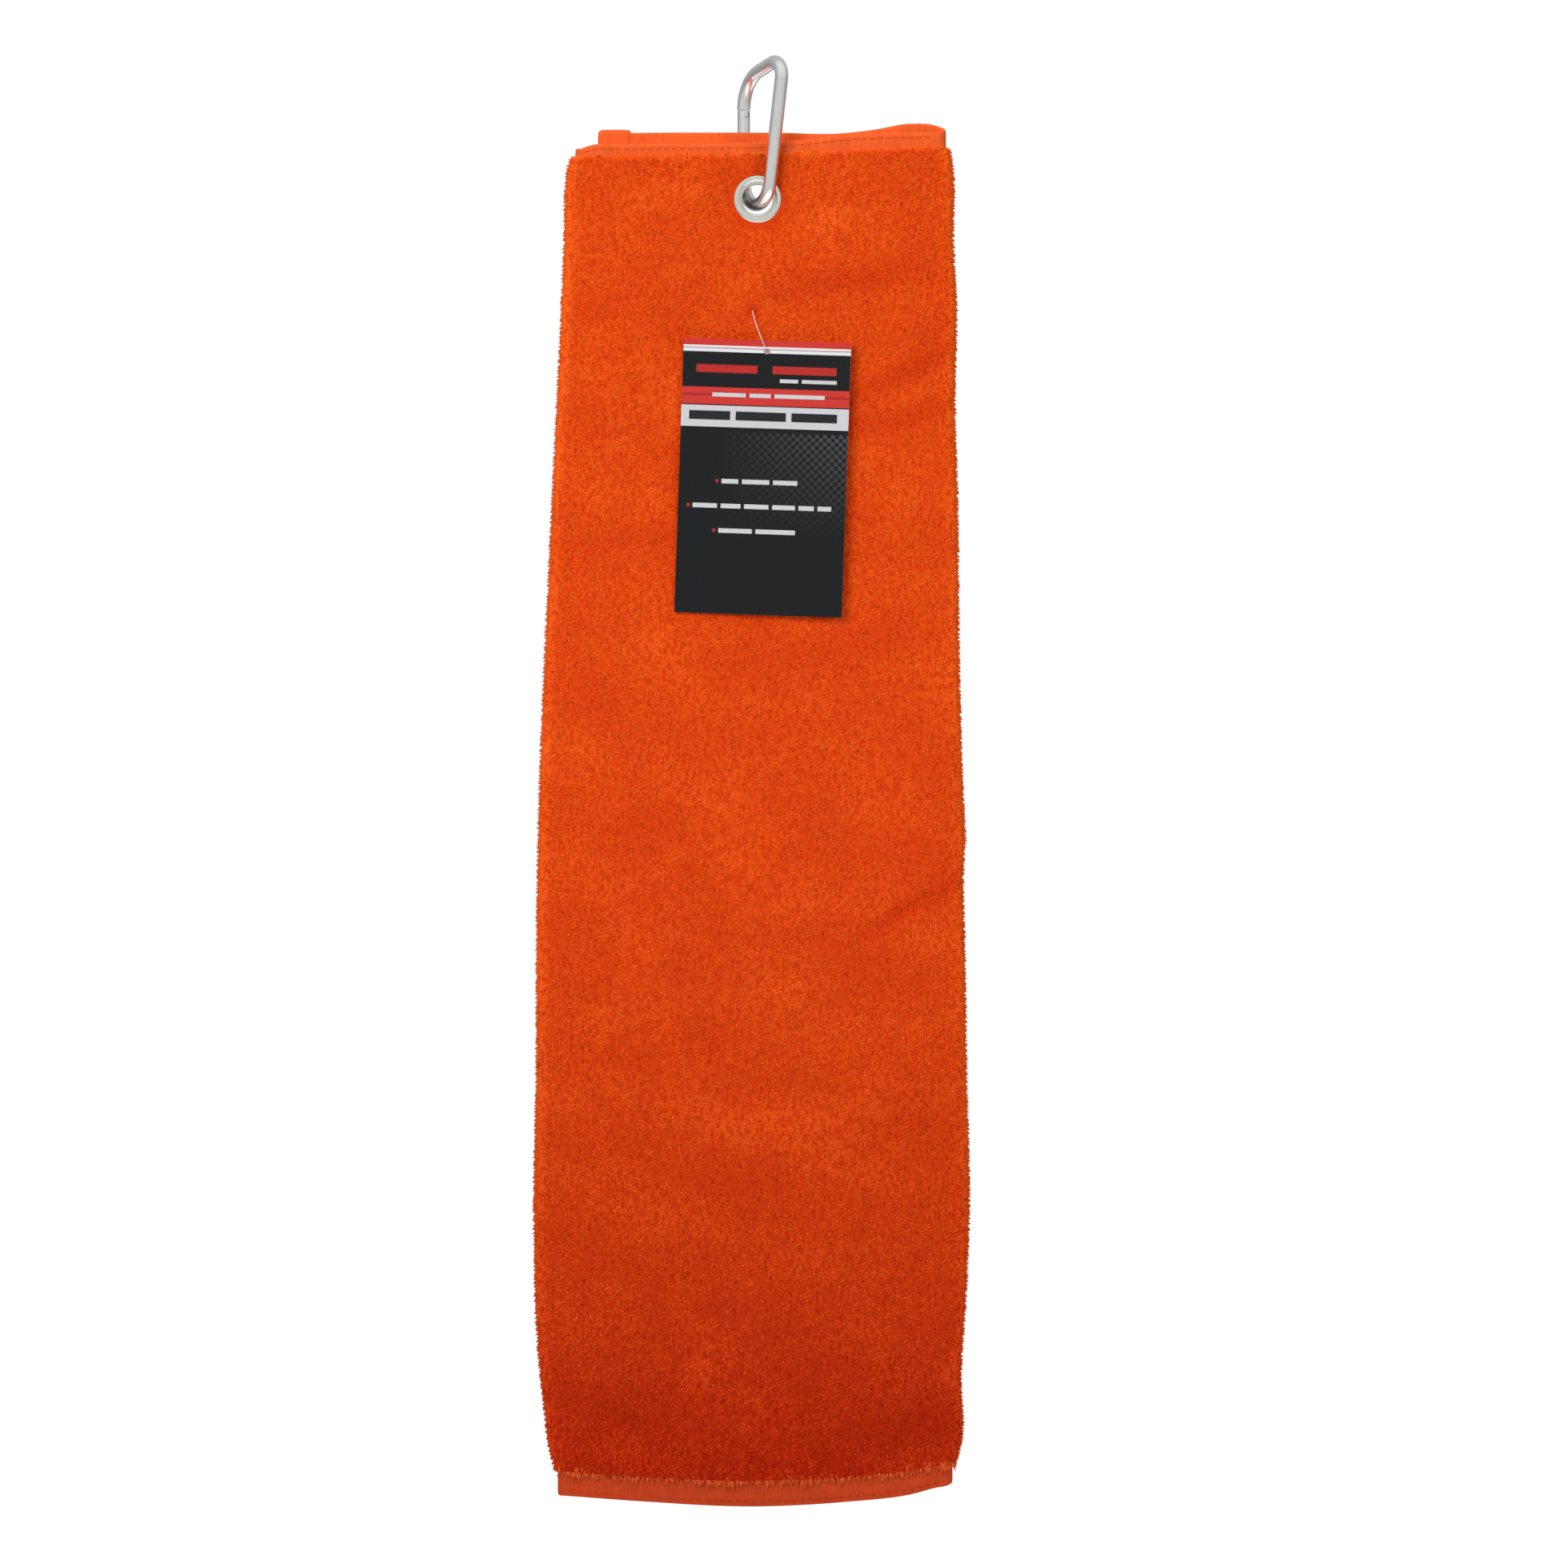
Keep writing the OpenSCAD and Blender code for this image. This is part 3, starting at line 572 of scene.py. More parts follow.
def polished_metal(name, colour, roughness, scratch):
    material, tree, shader = new_material(name)
    fine = noise(tree, place_coordinates(tree, (1.0, 1.0, 0.15)), 1400.0, 2.0)
    broad = noise(tree, place_coordinates(tree), 180.0, 2.0)
    tone = mix_colour(tree, broad, tuple(0.92 * c for c in colour), tuple(min(1.05 * c, 1) for c in colour))
    link(tree, tone, shader.inputs["Base Color"])
    shader.inputs["Metallic"].default_value = 1.0
    wear = calculate(tree, "ADD", remap(tree, fine, 0.35, 0.7, roughness, roughness + 0.3 * scratch),
                     remap(tree, broad, 0.4, 0.8, 0.0, scratch))
    link(tree, wear, shader.inputs["Roughness"])
    bump(tree, shader, fine, 0.02, 0.00002)
    return material


def nylon(name):
    material, tree, shader = new_material(name)
    haze = noise(tree, place_coordinates(tree), 900.0, 2.0)
    link(tree, mix_colour(tree, haze, (0.78, 0.58, 0.55), (0.90, 0.76, 0.74)), shader.inputs["Base Color"])
    preset(shader, {"Roughness": 0.3, "Transmission Weight": 0.35, "IOR": 1.53})
    return material


# each pile: its deep colour at the top and the foot, then its bright colour at the top and the foot; the
# darkening from top to foot, in these and in the bands and thread below, is painted shade
VELOUR = velour("velour_pile", ((0.65, 0.049, 0.005), (0.275, 0.007, 0.0015)),
                ((0.98, 0.152, 0.014), (0.585, 0.035, 0.005)))
# painted highlight: the fringe is painted paler than the pile, so that its downward-facing tufts read as lit
# tips
FRINGE_WITH_PAINTED_LIGHT = velour("pile_fringe", ((0.80, 0.10, 0.01), (0.50, 0.03, 0.006)),
                ((0.95, 0.25, 0.03), (0.86, 0.12, 0.03)))
REVERSE = velour("terry_reverse", ((0.70, 0.05, 0.006), (0.52, 0.02, 0.004)),
                 ((0.9, 0.14, 0.016), (0.75, 0.08, 0.01)), 0.15)
WOVEN = woven("woven_band", (0.74, 0.105, 0.021), (0.40, 0.038, 0.009))
THREAD = sewing_thread("hem_thread", (0.66, 0.085, 0.016), (0.38, 0.038, 0.009))
ALUMINIUM = polished_metal("polished_aluminium", (0.84, 0.85, 0.83), 0.20, 0.10)
NICKEL = polished_metal("polished_nickel", (0.74, 0.73, 0.67), 0.15, 0.10)
STEEL = polished_metal("bright_steel", (0.60, 0.60, 0.58), 0.25, 0.12)
NYLON = nylon("moulded_nylon")

# ---------------------------------------------------------------- cloth

PILE_ROWS = np.linspace(0, 1, 300)
PILE_STEP = 1.4
body_grid, body_parts = folded_path(pile_foot, pile_top, pile_foot, pile_top, 0, -FRONT_Y, PILE_ROWS,
                                    PILE_STEP, 10)
body_grid = pinch(relief(body_grid, "front", body_parts))
body_normal = grid_normals(body_grid)
body_skin = body_grid + body_normal * CLOTH_HALF


def attach(piece, body, slot, *replaced):
    """Puts a piece on a body, or for the body blend only bakes its placement, and hides the CAD nodes it
    stands for. The slot is not used.
    """
    if body == "blend":
        bend_at_crease(piece)
    else:
        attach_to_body(piece, body)
    if replaced:
        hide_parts(*replaced)
    return piece


towel_body = shell("velour_body", body_grid, CLOTH_HALF, VELOUR, hole_r=EYELET_CUT, paint_nap_and_light=nap_and_painted_light)
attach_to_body(towel_body, "towel")
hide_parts("front_panel", "left_fold", "inner_panel", "right_fold")


def clear_of_eyelet(points):
    r = np.hypot(points[:, 0], points[:, 2])
    return r > FLANGE_R + 0.5 + 0.6 * np.clip(points[:, 2] / FLANGE_R, 0, 1)


def declare_pile(piece, body="towel"):
    return attach(piece, body, "velour")


PILE = dict(height=0.45, lean=0.9, radius=0.66, material=VELOUR)
FOLD_PILE = dict(height=0.85, lean=0.45, radius=0.55, material=VELOUR)
INNER_PILE = dict(height=0.35, lean=0.7, radius=0.7, material=VELOUR)
LOOPS = dict(height=0.3, lean=0.15, radius=0.7, material=REVERSE)
declare_pile(tufts("pile_front", body_skin, body_normal, body_parts["front"], 0.95, seed=11,
                   keep=clear_of_eyelet, **PILE))
for fold, seed in (("left_fold", 12), ("right_fold", 13)):
    declare_pile(tufts(f"pile_{fold}", body_skin, body_normal, body_parts[fold], 0.95, seed=seed,
                       **FOLD_PILE))
declare_pile(tufts("pile_inner", body_skin, body_normal, body_parts["inner"], 1.35, seed=14,
                   keep=clear_of_eyelet, **INNER_PILE))

crease_joint = JOINTS["flap_peel"]
CREASE = np.array(crease_joint["pos_m"])
CREASE_AXIS = np.array(crease_joint["axis"]) / np.linalg.norm(crease_joint["axis"])
CREASE_LEFT = np.cross(CREASE_AXIS, (0, 1, 0))
if CREASE_LEFT[0] > 0:
    CREASE_LEFT = -CREASE_LEFT


def bend_at_crease(piece):
    """Bakes the piece's placement into its mesh; the rear layer is not bent along the crease."""
    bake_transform(piece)


def rear_grid(low, high, right_in, left_of, y, rows, step):
    """Middle points of the rear layer, from the right fold to a free edge."""
    v = np.asarray(rows)
    start_x = right_x(low(np.full(v.shape, 66.0)) + v * (high(66.0) - low(66.0))) - right_in
    ends = left_of(low(np.full(v.shape, -55.0)) + v * (high(-55.0) - low(-55.0)))
    count = int(float(np.mean(start_x - ends)) / step)
    columns = []
    for k in range(count):
        x = start_x + k / (count - 1) * (ends - start_x)
        columns.append(np.stack([x, np.full(v.shape, y), low(x) + v * (high(x) - low(x))], axis=1))
    return np.stack(columns)


rear = rear_grid(pile_foot, pile_top, RIGHT_ROLL_IN + 8, lambda z: rear_edge(z) + SIDE_HEM_W - 1, REAR_Y,
                 PILE_ROWS, PILE_STEP)
rear_x, rear_z = rear[..., 0], rear[..., 2]
free_of_eyelet = smoothstep(9, 26, np.hypot(rear_x, rear_z))
free_of_fold = smoothstep(0, 10, np.arange(rear.shape[0]))[:, None]
rear[..., 1] += 0.3 * (1 + waves(rear_x, rear_z, 9, 110, 40)) * free_of_eyelet * free_of_fold
rear = pinch(rear)
rear_normal = grid_normals(rear)
rear_cloth = shell("velour_rear", rear, CLOTH_HALF, VELOUR, hole_r=EYELET_CUT, paint_nap_and_light=nap_and_painted_light)
bend_at_crease(rear_cloth)
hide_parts("rear_panel", "rear_flap")
whole_rear = (0, rear.shape[0])
declare_pile(tufts("pile_rear", rear + rear_normal * CLOTH_HALF, rear_normal, whole_rear, 1.15, seed=15,
                   keep=clear_of_eyelet, **PILE), "blend")
declare_pile(tufts("loops_rear", rear - rear_normal * CLOTH_HALF, -rear_normal, whole_rear, 1.7, seed=16,
                   keep=clear_of_eyelet, spread=2.0, **LOOPS), "blend")
declare_pile(tufts("pile_tail", body_skin, body_normal, body_parts["tail"], 1.1, seed=17, **PILE))

# ---------------------------------------------------------------- woven hems

HEM_ROWS = np.array([0, 0.03, 0.1, 0.2, 0.35, 0.5, 0.65, 0.8, 0.9, 0.97, 1])
HEM_EDGE = np.array([0.35, 0.75, 0.95, 1, 1, 1, 1, 1, 0.95, 0.75, 0.35])


def ribbed(grid, pitch, depth):
    """Fine upright ribs, as depths to add to a band's half thickness."""
    run = np.concatenate([[0], np.cumsum(np.linalg.norm(np.diff(grid[:, 5], axis=0), axis=1))])
    return depth * np.sin(math.tau * run / pitch)[:, None]


def hem_band(name, grid, replaced, body):
    half = HEM_HALF * HEM_EDGE[None, :] + ribbed(grid, 1.05, 0.035)
    return attach(shell(name, grid, half, WOVEN), body, "woven_hem", *replaced)


def lifted(table, amount):
    return lambda x: table(x) + amount


# the bands start a little inside the pile, and the bottom ones stand in less from the folds
UNDER_PILE = 1.5
FOOT_INSET = HEM_INSET / 2
RIB_STEP = 0.26
pile_top_under, pile_foot_under = lifted(pile_top, -UNDER_PILE), lifted(pile_foot, UNDER_PILE)
top_grid = folded_path(pile_top_under, front_top, pile_top_under, rear_top, HEM_INSET, HEM_Y, HEM_ROWS,
                       RIB_STEP, 6)[0]
foot_grid = folded_path(front_foot, pile_foot_under, rear_foot, pile_foot_under, FOOT_INSET + 0.7, HEM_Y,
                        HEM_ROWS, RIB_STEP, 6)[0]
foot_grid[..., 1] += 0.25 * waves(foot_grid[..., 0], foot_grid[..., 2], 31, 60, 22)
top_hem = hem_band("top_hem_band", pinch(top_grid), ["front_top_hem", "inner_top_hem", "hem_fold_ends"],
                   "towel")
foot_hem = hem_band("bottom_hem_band", foot_grid, ["front_bottom_hem", "inner_bottom_hem"], "towel")
rear_top_grid = rear_grid(pile_top_under, rear_top, HEM_INSET + HEM_Y + 4,
                          lambda z: rear_edge(z) + SIDE_HEM_W - 0.5, HEM_Y, HEM_ROWS, RIB_STEP)
rear_foot_grid = rear_grid(rear_foot, pile_foot_under, FOOT_INSET + HEM_Y + 4,
                           lambda z: rear_edge(z) + SIDE_HEM_W - 0.5, HEM_Y, HEM_ROWS, RIB_STEP)
rear_top_hem = hem_band("rear_top_hem_band", pinch(rear_top_grid), ["rear_top_hem", "flap_top_hem"], "blend")
hem_band("rear_bottom_hem_band", rear_foot_grid, ["flap_bottom_hem"], "blend")


def side_band(name, edge, width, top, foot, y, nodes, body):
    """A side hem: a long narrow band, its middle points from the free edge inwards."""
    z = np.linspace(foot, top, 260)
    f = np.array([0, 0.03, 0.1, 0.25, 0.4, 0.55, 0.7, 0.85, 0.95, 1])
    round_corner = 1.2 * (1 - np.sqrt(1 - (np.clip(np.abs(2 * f - 1), 0, 1)) ** 8))
    columns = []
    for share, drop in zip(f, round_corner):
        x = edge(z) + share * width
        zz = z - drop * smoothstep(foot, top, z)
        columns.append(np.stack([x, y + 0.15 * waves(x, zz, 41, 50, 20), zz], axis=1))
    grid = np.stack(columns)
    if grid[-1, 0, 0] > grid[0, 0, 0] and y > 0:
        grid = grid[::-1]
    half = HEM_HALF * np.interp(np.linspace(0, 1, len(f)), [0, 0.08, 0.2, 0.8, 0.92, 1],
                                [0.4, 0.9, 1, 1, 0.9, 0.4])
    piece = shell(name, grid, half[:, None] * np.ones(len(z)), WOVEN)
    return attach(piece, body, "woven_hem", *nodes)


side_band("rear_side_hem_band", rear_edge, SIDE_HEM_W, SIDE_HEM_TOP, -423.0, SIDE_HEM_Y, ["flap_side_hem"],
          "flap")
side_band("inner_side_hem_band", lambda z: right_x(z) - RIGHT_ROLL_IN - 1 - SIDE_HEM_W, SIDE_HEM_W, 16.0,
          -414.0, 0.0, ["inner_side_hem"], "towel")


def edge_tufts(name, line_x, z_line, y, out, length, density, lie, seed, body, upward=False):
    """Ragged tufts where the pile ends over a woven band."""
    rng = np.random.default_rng(seed)
    count = int((line_x[1] - line_x[0]) * density)
    x = rng.uniform(line_x[0], line_x[1], count)
    way = 1.0 if upward else -1.0
    # clumps: neighbouring tufts hang together, with gaps between
    clump = waves(x, 0 * x, seed + 1, 6.0, 2.2)
    z = z_line(x) - way * rng.uniform(-0.2, 1.8, count)
    root = np.stack([x, y + out * rng.uniform(-0.7, 0.1, count), z], axis=1)
    reach = length * rng.uniform(0.5, 1.1, count) * (1 + 0.45 * clump)
    sway, forward = rng.normal(scale=0.7, size=count), out * rng.uniform(0.2, 0.8, count)
    tip = root + np.stack([sway, forward, way * reach], axis=1)
    wide = rng.uniform(0.55, 1.0, count)
    ring = [root + np.stack([wide * math.cos(a), 0.55 * math.sin(a) * np.ones(count), 0 * wide], axis=1)
            for a in CORNERS]
    vertices, faces = tuft_mesh(ring, tip)
    if not upward:
        faces = faces[:, ::-1]
    # tip runs from the roots to the tips, so that the material paints the roots darker: painted shade
    values = {"tip": np.tile([0.0, 0.0, 0.0, 1.1], count), "shade": np.repeat(rng.random(count), 4),
              "nap_and_painted_light": np.full(4 * count, lie)}
    return declare_pile(mesh_object(name, vertices, faces, 3, FRINGE_WITH_PAINTED_LIGHT, values=values), body)


# painted highlight: the foot fringe's high lay value paints its tufts brighter
edge_tufts("pile_foot_fringe", (-65, 64), pile_foot, -3.7, -1.0, 3.1, 3.6, 0.9, 51, "towel")
edge_tufts("pile_head_fringe", (-60, 62), pile_top, -3.2, -1.0, 0.8, 4.0, 0.1, 52, "towel", upward=True)
edge_tufts("pile_rear_foot_fringe", (-47, 59), pile_foot, 3.3, 1.0, 1.7, 4.0, 0.2, 53, "blend")
edge_tufts("pile_rear_head_fringe", (-41, 59), pile_top, 3.3, 1.0, 0.8, 3.5, 0.1, 54, "blend", upward=True)

# ---------------------------------------------------------------- stitching


def across_line(table, offset, x0, x1, y):
    x = np.linspace(x0, x1, 120)
    return np.stack([x, np.full(len(x), y), table(x) + offset], axis=1)


STITCH = dict(pitch=2.6, length=2.2, radius=0.24)


def seam(name, line, out, body):
    return attach(stitches(name, line, out, material=THREAD, **STITCH), body, "thread")


front_y = -HEM_Y - HEM_HALF - 0.05
foot_seam = seam("front_foot_stitches", across_line(front_foot, 1.6, -62, 62, front_y), (0, -1, 0), "towel")
seam("front_top_stitches", across_line(front_top, -1.6, -57, 58, front_y), (0, -1, 0), "towel")
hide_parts("front_hem_stitches")
z_run = np.linspace(-415, 20, 200)
side_y = np.full(len(z_run), SIDE_HEM_Y + HEM_HALF + 0.1)
for k, inset in enumerate((1.4, SIDE_HEM_W - 1.6)):
    line = np.stack([rear_edge(z_run) + inset, side_y, z_run], axis=1)
    seam(f"side_stitches_{k}", line, (0, 1, 0), "flap")
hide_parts("flap_side_stitches")

# ---------------------------------------------------------------- hang tag

TAG_W, TAG_H, TAG_T = 55.0, 90.0, 0.42
TAG_CENTRE = np.array([1.75, -6.9, -91.6])
TAG_ROLL, TAG_TURN = math.radians(2), math.radians(-3)


def card_point(across, up, out=0.0):
    """A place on the bowed card: across and up from its centre, out from its front."""
    bow = -0.5 * (across / (TAG_W / 2)) ** 2 + 0.25 * (up / (TAG_H / 2)) ** 2
    x, y, z = across, bow - out, up
    c, s = math.cos(TAG_ROLL), math.sin(TAG_ROLL)
    x, z = x * c + z * s, -x * s + z * c
    c, s = math.cos(TAG_TURN), math.sin(TAG_TURN)
    x, y = x * c - y * s, x * s + y * c
    return TAG_CENTRE + np.stack([x, y, z], axis=-1)


def card_material(name):
    """Printed card: plain bands across the top, black below with a fading woven pattern."""
    material, tree, shader = new_material(name)
    layer = node(tree, "ShaderNodeUVMap", uv_map="card")
    split = node(tree, "ShaderNodeSeparateXYZ")
    link(tree, layer.outputs["UV"], split.inputs["Vector"])
    ramp = node(tree, "ShaderNodeValToRGB")
    ramp.color_ramp.interpolation = "CONSTANT"
    red, white, black = (0.50, 0.035, 0.027, 1), (0.66, 0.66, 0.67, 1), (0.006, 0.007, 0.008, 1)
    deep, grey, silver = (0.33, 0.018, 0.018, 1), (0.36, 0.25, 0.26, 1), (0.52, 0.52, 0.54, 1)
    # where each band starts below the card's top, in mm
    bands = [(0.0, red), (1.8, white), (2.7, grey), (3.0, white), (4.1, black), (15.6, red), (17.9, deep),
             (18.5, red), (21.2, black), (21.7, silver), (28.8, black)]
    ramp.color_ramp.elements[0].color = red
    ramp.color_ramp.elements[1].position = bands[-1][0] / TAG_H
    ramp.color_ramp.elements[1].color = bands[-1][1]
    for start, colour in bands[1:-1]:
        element = ramp.color_ramp.elements.new(start / TAG_H)
        element.color = colour
    down = calculate(tree, "SUBTRACT", 1.0, split.outputs["Y"])
    link(tree, down, ramp.inputs["Fac"])
    checker = node(tree, "ShaderNodeTexChecker")
    preset(checker, {"Scale": 1.0, "Color1": (0.07, 0.07, 0.072, 1), "Color2": (0.007, 0.008, 0.009, 1)})
    cells = node(tree, "ShaderNodeMapping")
    cells.inputs["Scale"].default_value = (TAG_W / 1.3, TAG_H / 1.3, 1)
    link(tree, layer.outputs["UV"], cells.inputs["Vector"])
    link(tree, cells.outputs["Vector"], checker.inputs["Vector"])
    # the woven pattern starts below the silver band and fades downwards and to the left
    below = calculate(tree, "MULTIPLY", remap(tree, down, 0.335, 0.34, 0.0, 1.0),
                      remap(tree, down, 0.34, 0.7, 1.0, 0.0))
    fade = calculate(tree, "MULTIPLY", remap(tree, split.outputs["X"], 0.25, 1.0, 0.0, 0.8), below)
    colour = mix_colour(tree, fade, ramp.outputs["Color"], checker.outputs["Color"])
    link(tree, colour, shader.inputs["Base Color"])
    paper = noise(tree, place_coordinates(tree), 700.0, 2.0)
    link(tree, remap(tree, paper, 0.3, 0.7, 0.36, 0.46), shader.inputs["Roughness"])
    shader.inputs["Specular IOR Level"].default_value = 0.18
    bump(tree, shader, paper, 0.05, 0.0001)
    return material


def plain_card(name, colour, roughness):
    material, tree, shader = new_material(name)
    fibre = noise(tree, place_coordinates(tree), 1200.0, 3.0)
    link(tree, mix_colour(tree, fibre, tuple(0.88 * c for c in colour), colour), shader.inputs["Base Color"])
    preset(shader, {"Roughness": roughness, "Specular IOR Level": 0.18})
    bump(tree, shader, fibre, 0.1, 0.0001)
    return material


def build_card():
    """The card as a bowed sheet with a punched hole: front, back and edges."""
    hole_up, hole_r = TAG_H / 2 - 3.7, 1.0
    us, vs = np.linspace(-TAG_W / 2, TAG_W / 2, 23), np.linspace(-TAG_H / 2, TAG_H / 2, 37)
    cell = us[1] - us[0]
    flat, faces, index = [], [], {}

    def point(a, b):
        key = (round(a, 4), round(b, 4))
        if key not in index:
            index[key] = len(flat)
            flat.append(key)
        return index[key]

    # the hole sits in one square patch of the grid, joined to it by a fan of quads
    iu = [k for k in range(len(us) - 1) if us[k] + 1e-6 < 1.01 * cell and us[k + 1] > -1.01 * cell]
    jv = [k for k in range(len(vs) - 1) if vs[k] < hole_up + 1.2 and vs[k + 1] > hole_up - 1.2]
    u0, u1 = us[iu[0]], us[iu[-1] + 1]
    v0, v1 = vs[jv[0]], vs[jv[-1] + 1]
    for i in range(len(us) - 1):
        for j in range(len(vs) - 1):
            if iu[0] <= i <= iu[-1] and jv[0] <= j <= jv[-1]:
                continue
            corners = ((i, j), (i + 1, j), (i + 1, j + 1), (i, j + 1))
            faces.append([point(us[a], vs[b]) for a, b in corners])
    rim = [(us[i], v0) for i in range(iu[0], iu[-1] + 1)]
    rim += [(u1, vs[j]) for j in range(jv[0], jv[-1] + 1)]
    rim += [(us[i], v1) for i in range(iu[-1] + 1, iu[0], -1)]
    rim += [(u0, vs[j]) for j in range(jv[-1] + 1, jv[0], -1)]
    steps = len(rim)
    inner = []
    for a, b in rim:
        angle = math.atan2(b - hole_up, a)
        inner.append((hole_r * math.cos(angle), hole_up + hole_r * math.sin(angle)))
    for k in range(steps):
        n = (k + 1) % steps
        faces.append([point(*rim[k]), point(*rim[n]), point(*inner[n]), point(*inner[k])])
    flat = np.array(flat)
    count = len(flat)
    front = card_point(flat[:, 0], flat[:, 1], TAG_T / 2)
    back = card_point(flat[:, 0], flat[:, 1], -TAG_T / 2)
    faces = np.array(faces)
    edges = {}
    for face in faces:
        edges.update(dict.fromkeys(zip(face, np.roll(face, -1))))
    border = [(a, b) for a, b in edges if (b, a) not in edges]
    walls = [[b, a, a + count, b + count] for a, b in border]
    everything = np.concatenate([faces, faces[:, ::-1] + count, np.array(walls)])
    card = mesh_object("card", np.concatenate([front, back]), everything, 4,
                       card_material("printed_card_front"), smooth=False)
    card.data.materials.append(plain_card("card_back", (0.80, 0.79, 0.76), 0.6))
    card.data.materials.append(plain_card("card_edge", (0.78, 0.60, 0.58), 0.7))
    kinds = [0] * len(faces) + [1] * len(faces) + [2] * len(walls)
    card.data.polygons.foreach_set("material_index", kinds)
    layer = card.data.uv_layers.new(name="card")
    both = np.concatenate([flat, flat])
    for corner in card.data.loops:
        a, b = both[corner.vertex_index]
        layer.data[corner.index].uv = (a / TAG_W + 0.5, b / TAG_H + 0.5)
    return card


def print_patch(shapes, name, material, out):
    """Bars of ink on the card's front, each (left, down, width, height) in mm from its top left."""
    vertices, faces = [], []
    for left, down, width, height in shapes:
        columns = max(int(width / 2), 1) + 1
        start = len(vertices)
        for k in range(columns):
            a = -TAG_W / 2 + left + width * k / (columns - 1)
            b = TAG_H / 2 - down
            vertices += [card_point(a, b - height, out), card_point(a, b, out)]
        for k in range(columns - 1):
            s = start + 2 * k
            faces.append([s, s + 2, s + 3, s + 1])
    piece = mesh_object(name, vertices, faces, 4, material, smooth=False)
    return attach(piece, "hang_tag", "printed_card")


card = build_card()
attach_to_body(card, "hang_tag")
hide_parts("hang_tag_card")
INK_OUT = TAG_T / 2 + 0.03
RED_INK = plain_card("red_ink", (0.42, 0.025, 0.02), 0.4)
WHITE_INK = plain_card("white_ink", (0.55, 0.55, 0.56), 0.4)
BLACK_INK = plain_card("black_ink", (0.015, 0.016, 0.018), 0.4)


def bars(left, down, height, widths, gap=1.2):
    """A row of plain bars, where a printed card carries a line of words."""
    shapes = []
    for width in widths:
        shapes.append((left, down, width, height))
        left += width + gap
    return shapes


print_patch(bars(4.5, 8.4, 2.6, (20, 21), 5) + [(12, 46, 1, 1), (2.8, 54.1, 1, 1), (11.5, 62.2, 1, 1)],
            "card_red_bars", RED_INK, INK_OUT)
print_patch(bars(32, 12.6, 1.2, (6, 11.5)) + bars(10, 17.6, 1.3, (11, 7, 16.5))
            + bars(14, 45.8, 1.5, (5.5, 9, 8)) + bars(4.8, 53.9, 1.5, (8, 6.5, 8, 7.5, 5, 4.5))
            + bars(13.5, 62, 1.5, (11, 13)), "card_white_bars", WHITE_INK, INK_OUT)
print_patch(bars(2.6, 23.6, 2.9, (13.5, 16.5, 15), 1.8), "card_black_bars", BLACK_INK, INK_OUT)


def tube(name, route, radius, material):
    """A round filament through given points."""
    route = np.array(route, float)
    curve = bpy.data.curves.new(name, "CURVE")
    curve.dimensions = "3D"
    curve.bevel_depth = radius * MM
    curve.bevel_resolution = 3
    curve.use_fill_caps = True
    spline = curve.splines.new("NURBS")
    spline.points.add(len(route) - 1)
    for point, place in zip(spline.points, HOLE + MM * route):
        point.co = (*place, 1)
    spline.use_endpoint_u = True
    spline.order_u = 4
    spline.resolution_u = 6
    curve.materials.append(material)
    obj = bpy.data.objects.new(name, curve)
    bpy.context.scene.collection.objects.link(obj)
    return obj


FILAMENT_ROUTE = [(-1.5, -3.4, -36.7), (-1.55, -4.7, -36.75), (-1.6, -6.1, -37), (-1.4, -7.5, -38.2),
                  (-0.8, -8.6, -40.4), (0.1, -9.1, -43), (1.1, -9.2, -45.6), (2.1, -8.9, -48),
                  (2.85, -8.2, -49.7), (3.08, -7.2, -50.3), (3.08, -5.9, -50.3)]
filament = tube("fastener_filament", FILAMENT_ROUTE, 0.18, NYLON)
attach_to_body(filament, "tag_string")
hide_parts("tag_filament")


def rounded_block(name, centre, size, bevel, material):
    """A small moulded block with rounded edges."""
    mesh = bpy.data.meshes.new(name)
    x, y, z = (s / 2 for s in size)
    corners = [(a, b, c) for a in (-x, x) for b in (-y, y) for c in (-z, z)]
    faces = [(0, 1, 3, 2), (4, 6, 7, 5), (0, 4, 5, 1), (2, 3, 7, 6), (0, 2, 6, 4), (1, 5, 7, 3)]
    mesh.from_pydata([tuple(HOLE + MM * (np.array(centre) + c)) for c in corners], [], faces)
    obj = bpy.data.objects.new(name, mesh)
    bpy.context.scene.collection.objects.link(obj)
    soften = obj.modifiers.new("soften", "BEVEL")
    soften.width = bevel * MM
    soften.segments = 3
    mesh.materials.append(material)
    return obj


paddle = rounded_block("fastener_paddle", (3.08, -5.85, -50.3), (6, 0.5, 1.6), 0.2, NYLON)
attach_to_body(paddle, "tag_string")

# ---------------------------------------------------------------- eyelet


def turned(name, profile, material, steps=120):
    """A ring turned about the eyelet's axis from a closed profile of radius and depth."""
    profile = np.array(profile, float)
    angle = np.linspace(0, math.tau, steps, endpoint=False)
    ring = np.stack([np.outer(np.cos(angle), profile[:, 0]), np.tile(profile[:, 1], (steps, 1)),
                     np.outer(np.sin(angle), profile[:, 0])], axis=2)
    count = len(profile)
    i, j = np.meshgrid(np.arange(steps), np.arange(count), indexing="ij")
    a, b = i * count + j, i * count + (j + 1) % count
    c, d = (i + 1) % steps * count + (j + 1) % count, (i + 1) % steps * count + j
    faces = np.stack([a, b, c, d], axis=2).reshape(-1, 4)
    return mesh_object(name, ring.reshape(-1, 3), faces, 4, material)


def rounded(profile, passes=2):
    """Cuts a closed profile's corners, so that it shades as one rolled surface."""
    points = np.array(profile, float)
    for _ in range(passes):
        after = np.roll(points, -1, axis=0)
        points = np.stack([0.75 * points + 0.25 * after, 0.25 * points + 0.75 * after], axis=1).reshape(-1, 2)
    return points


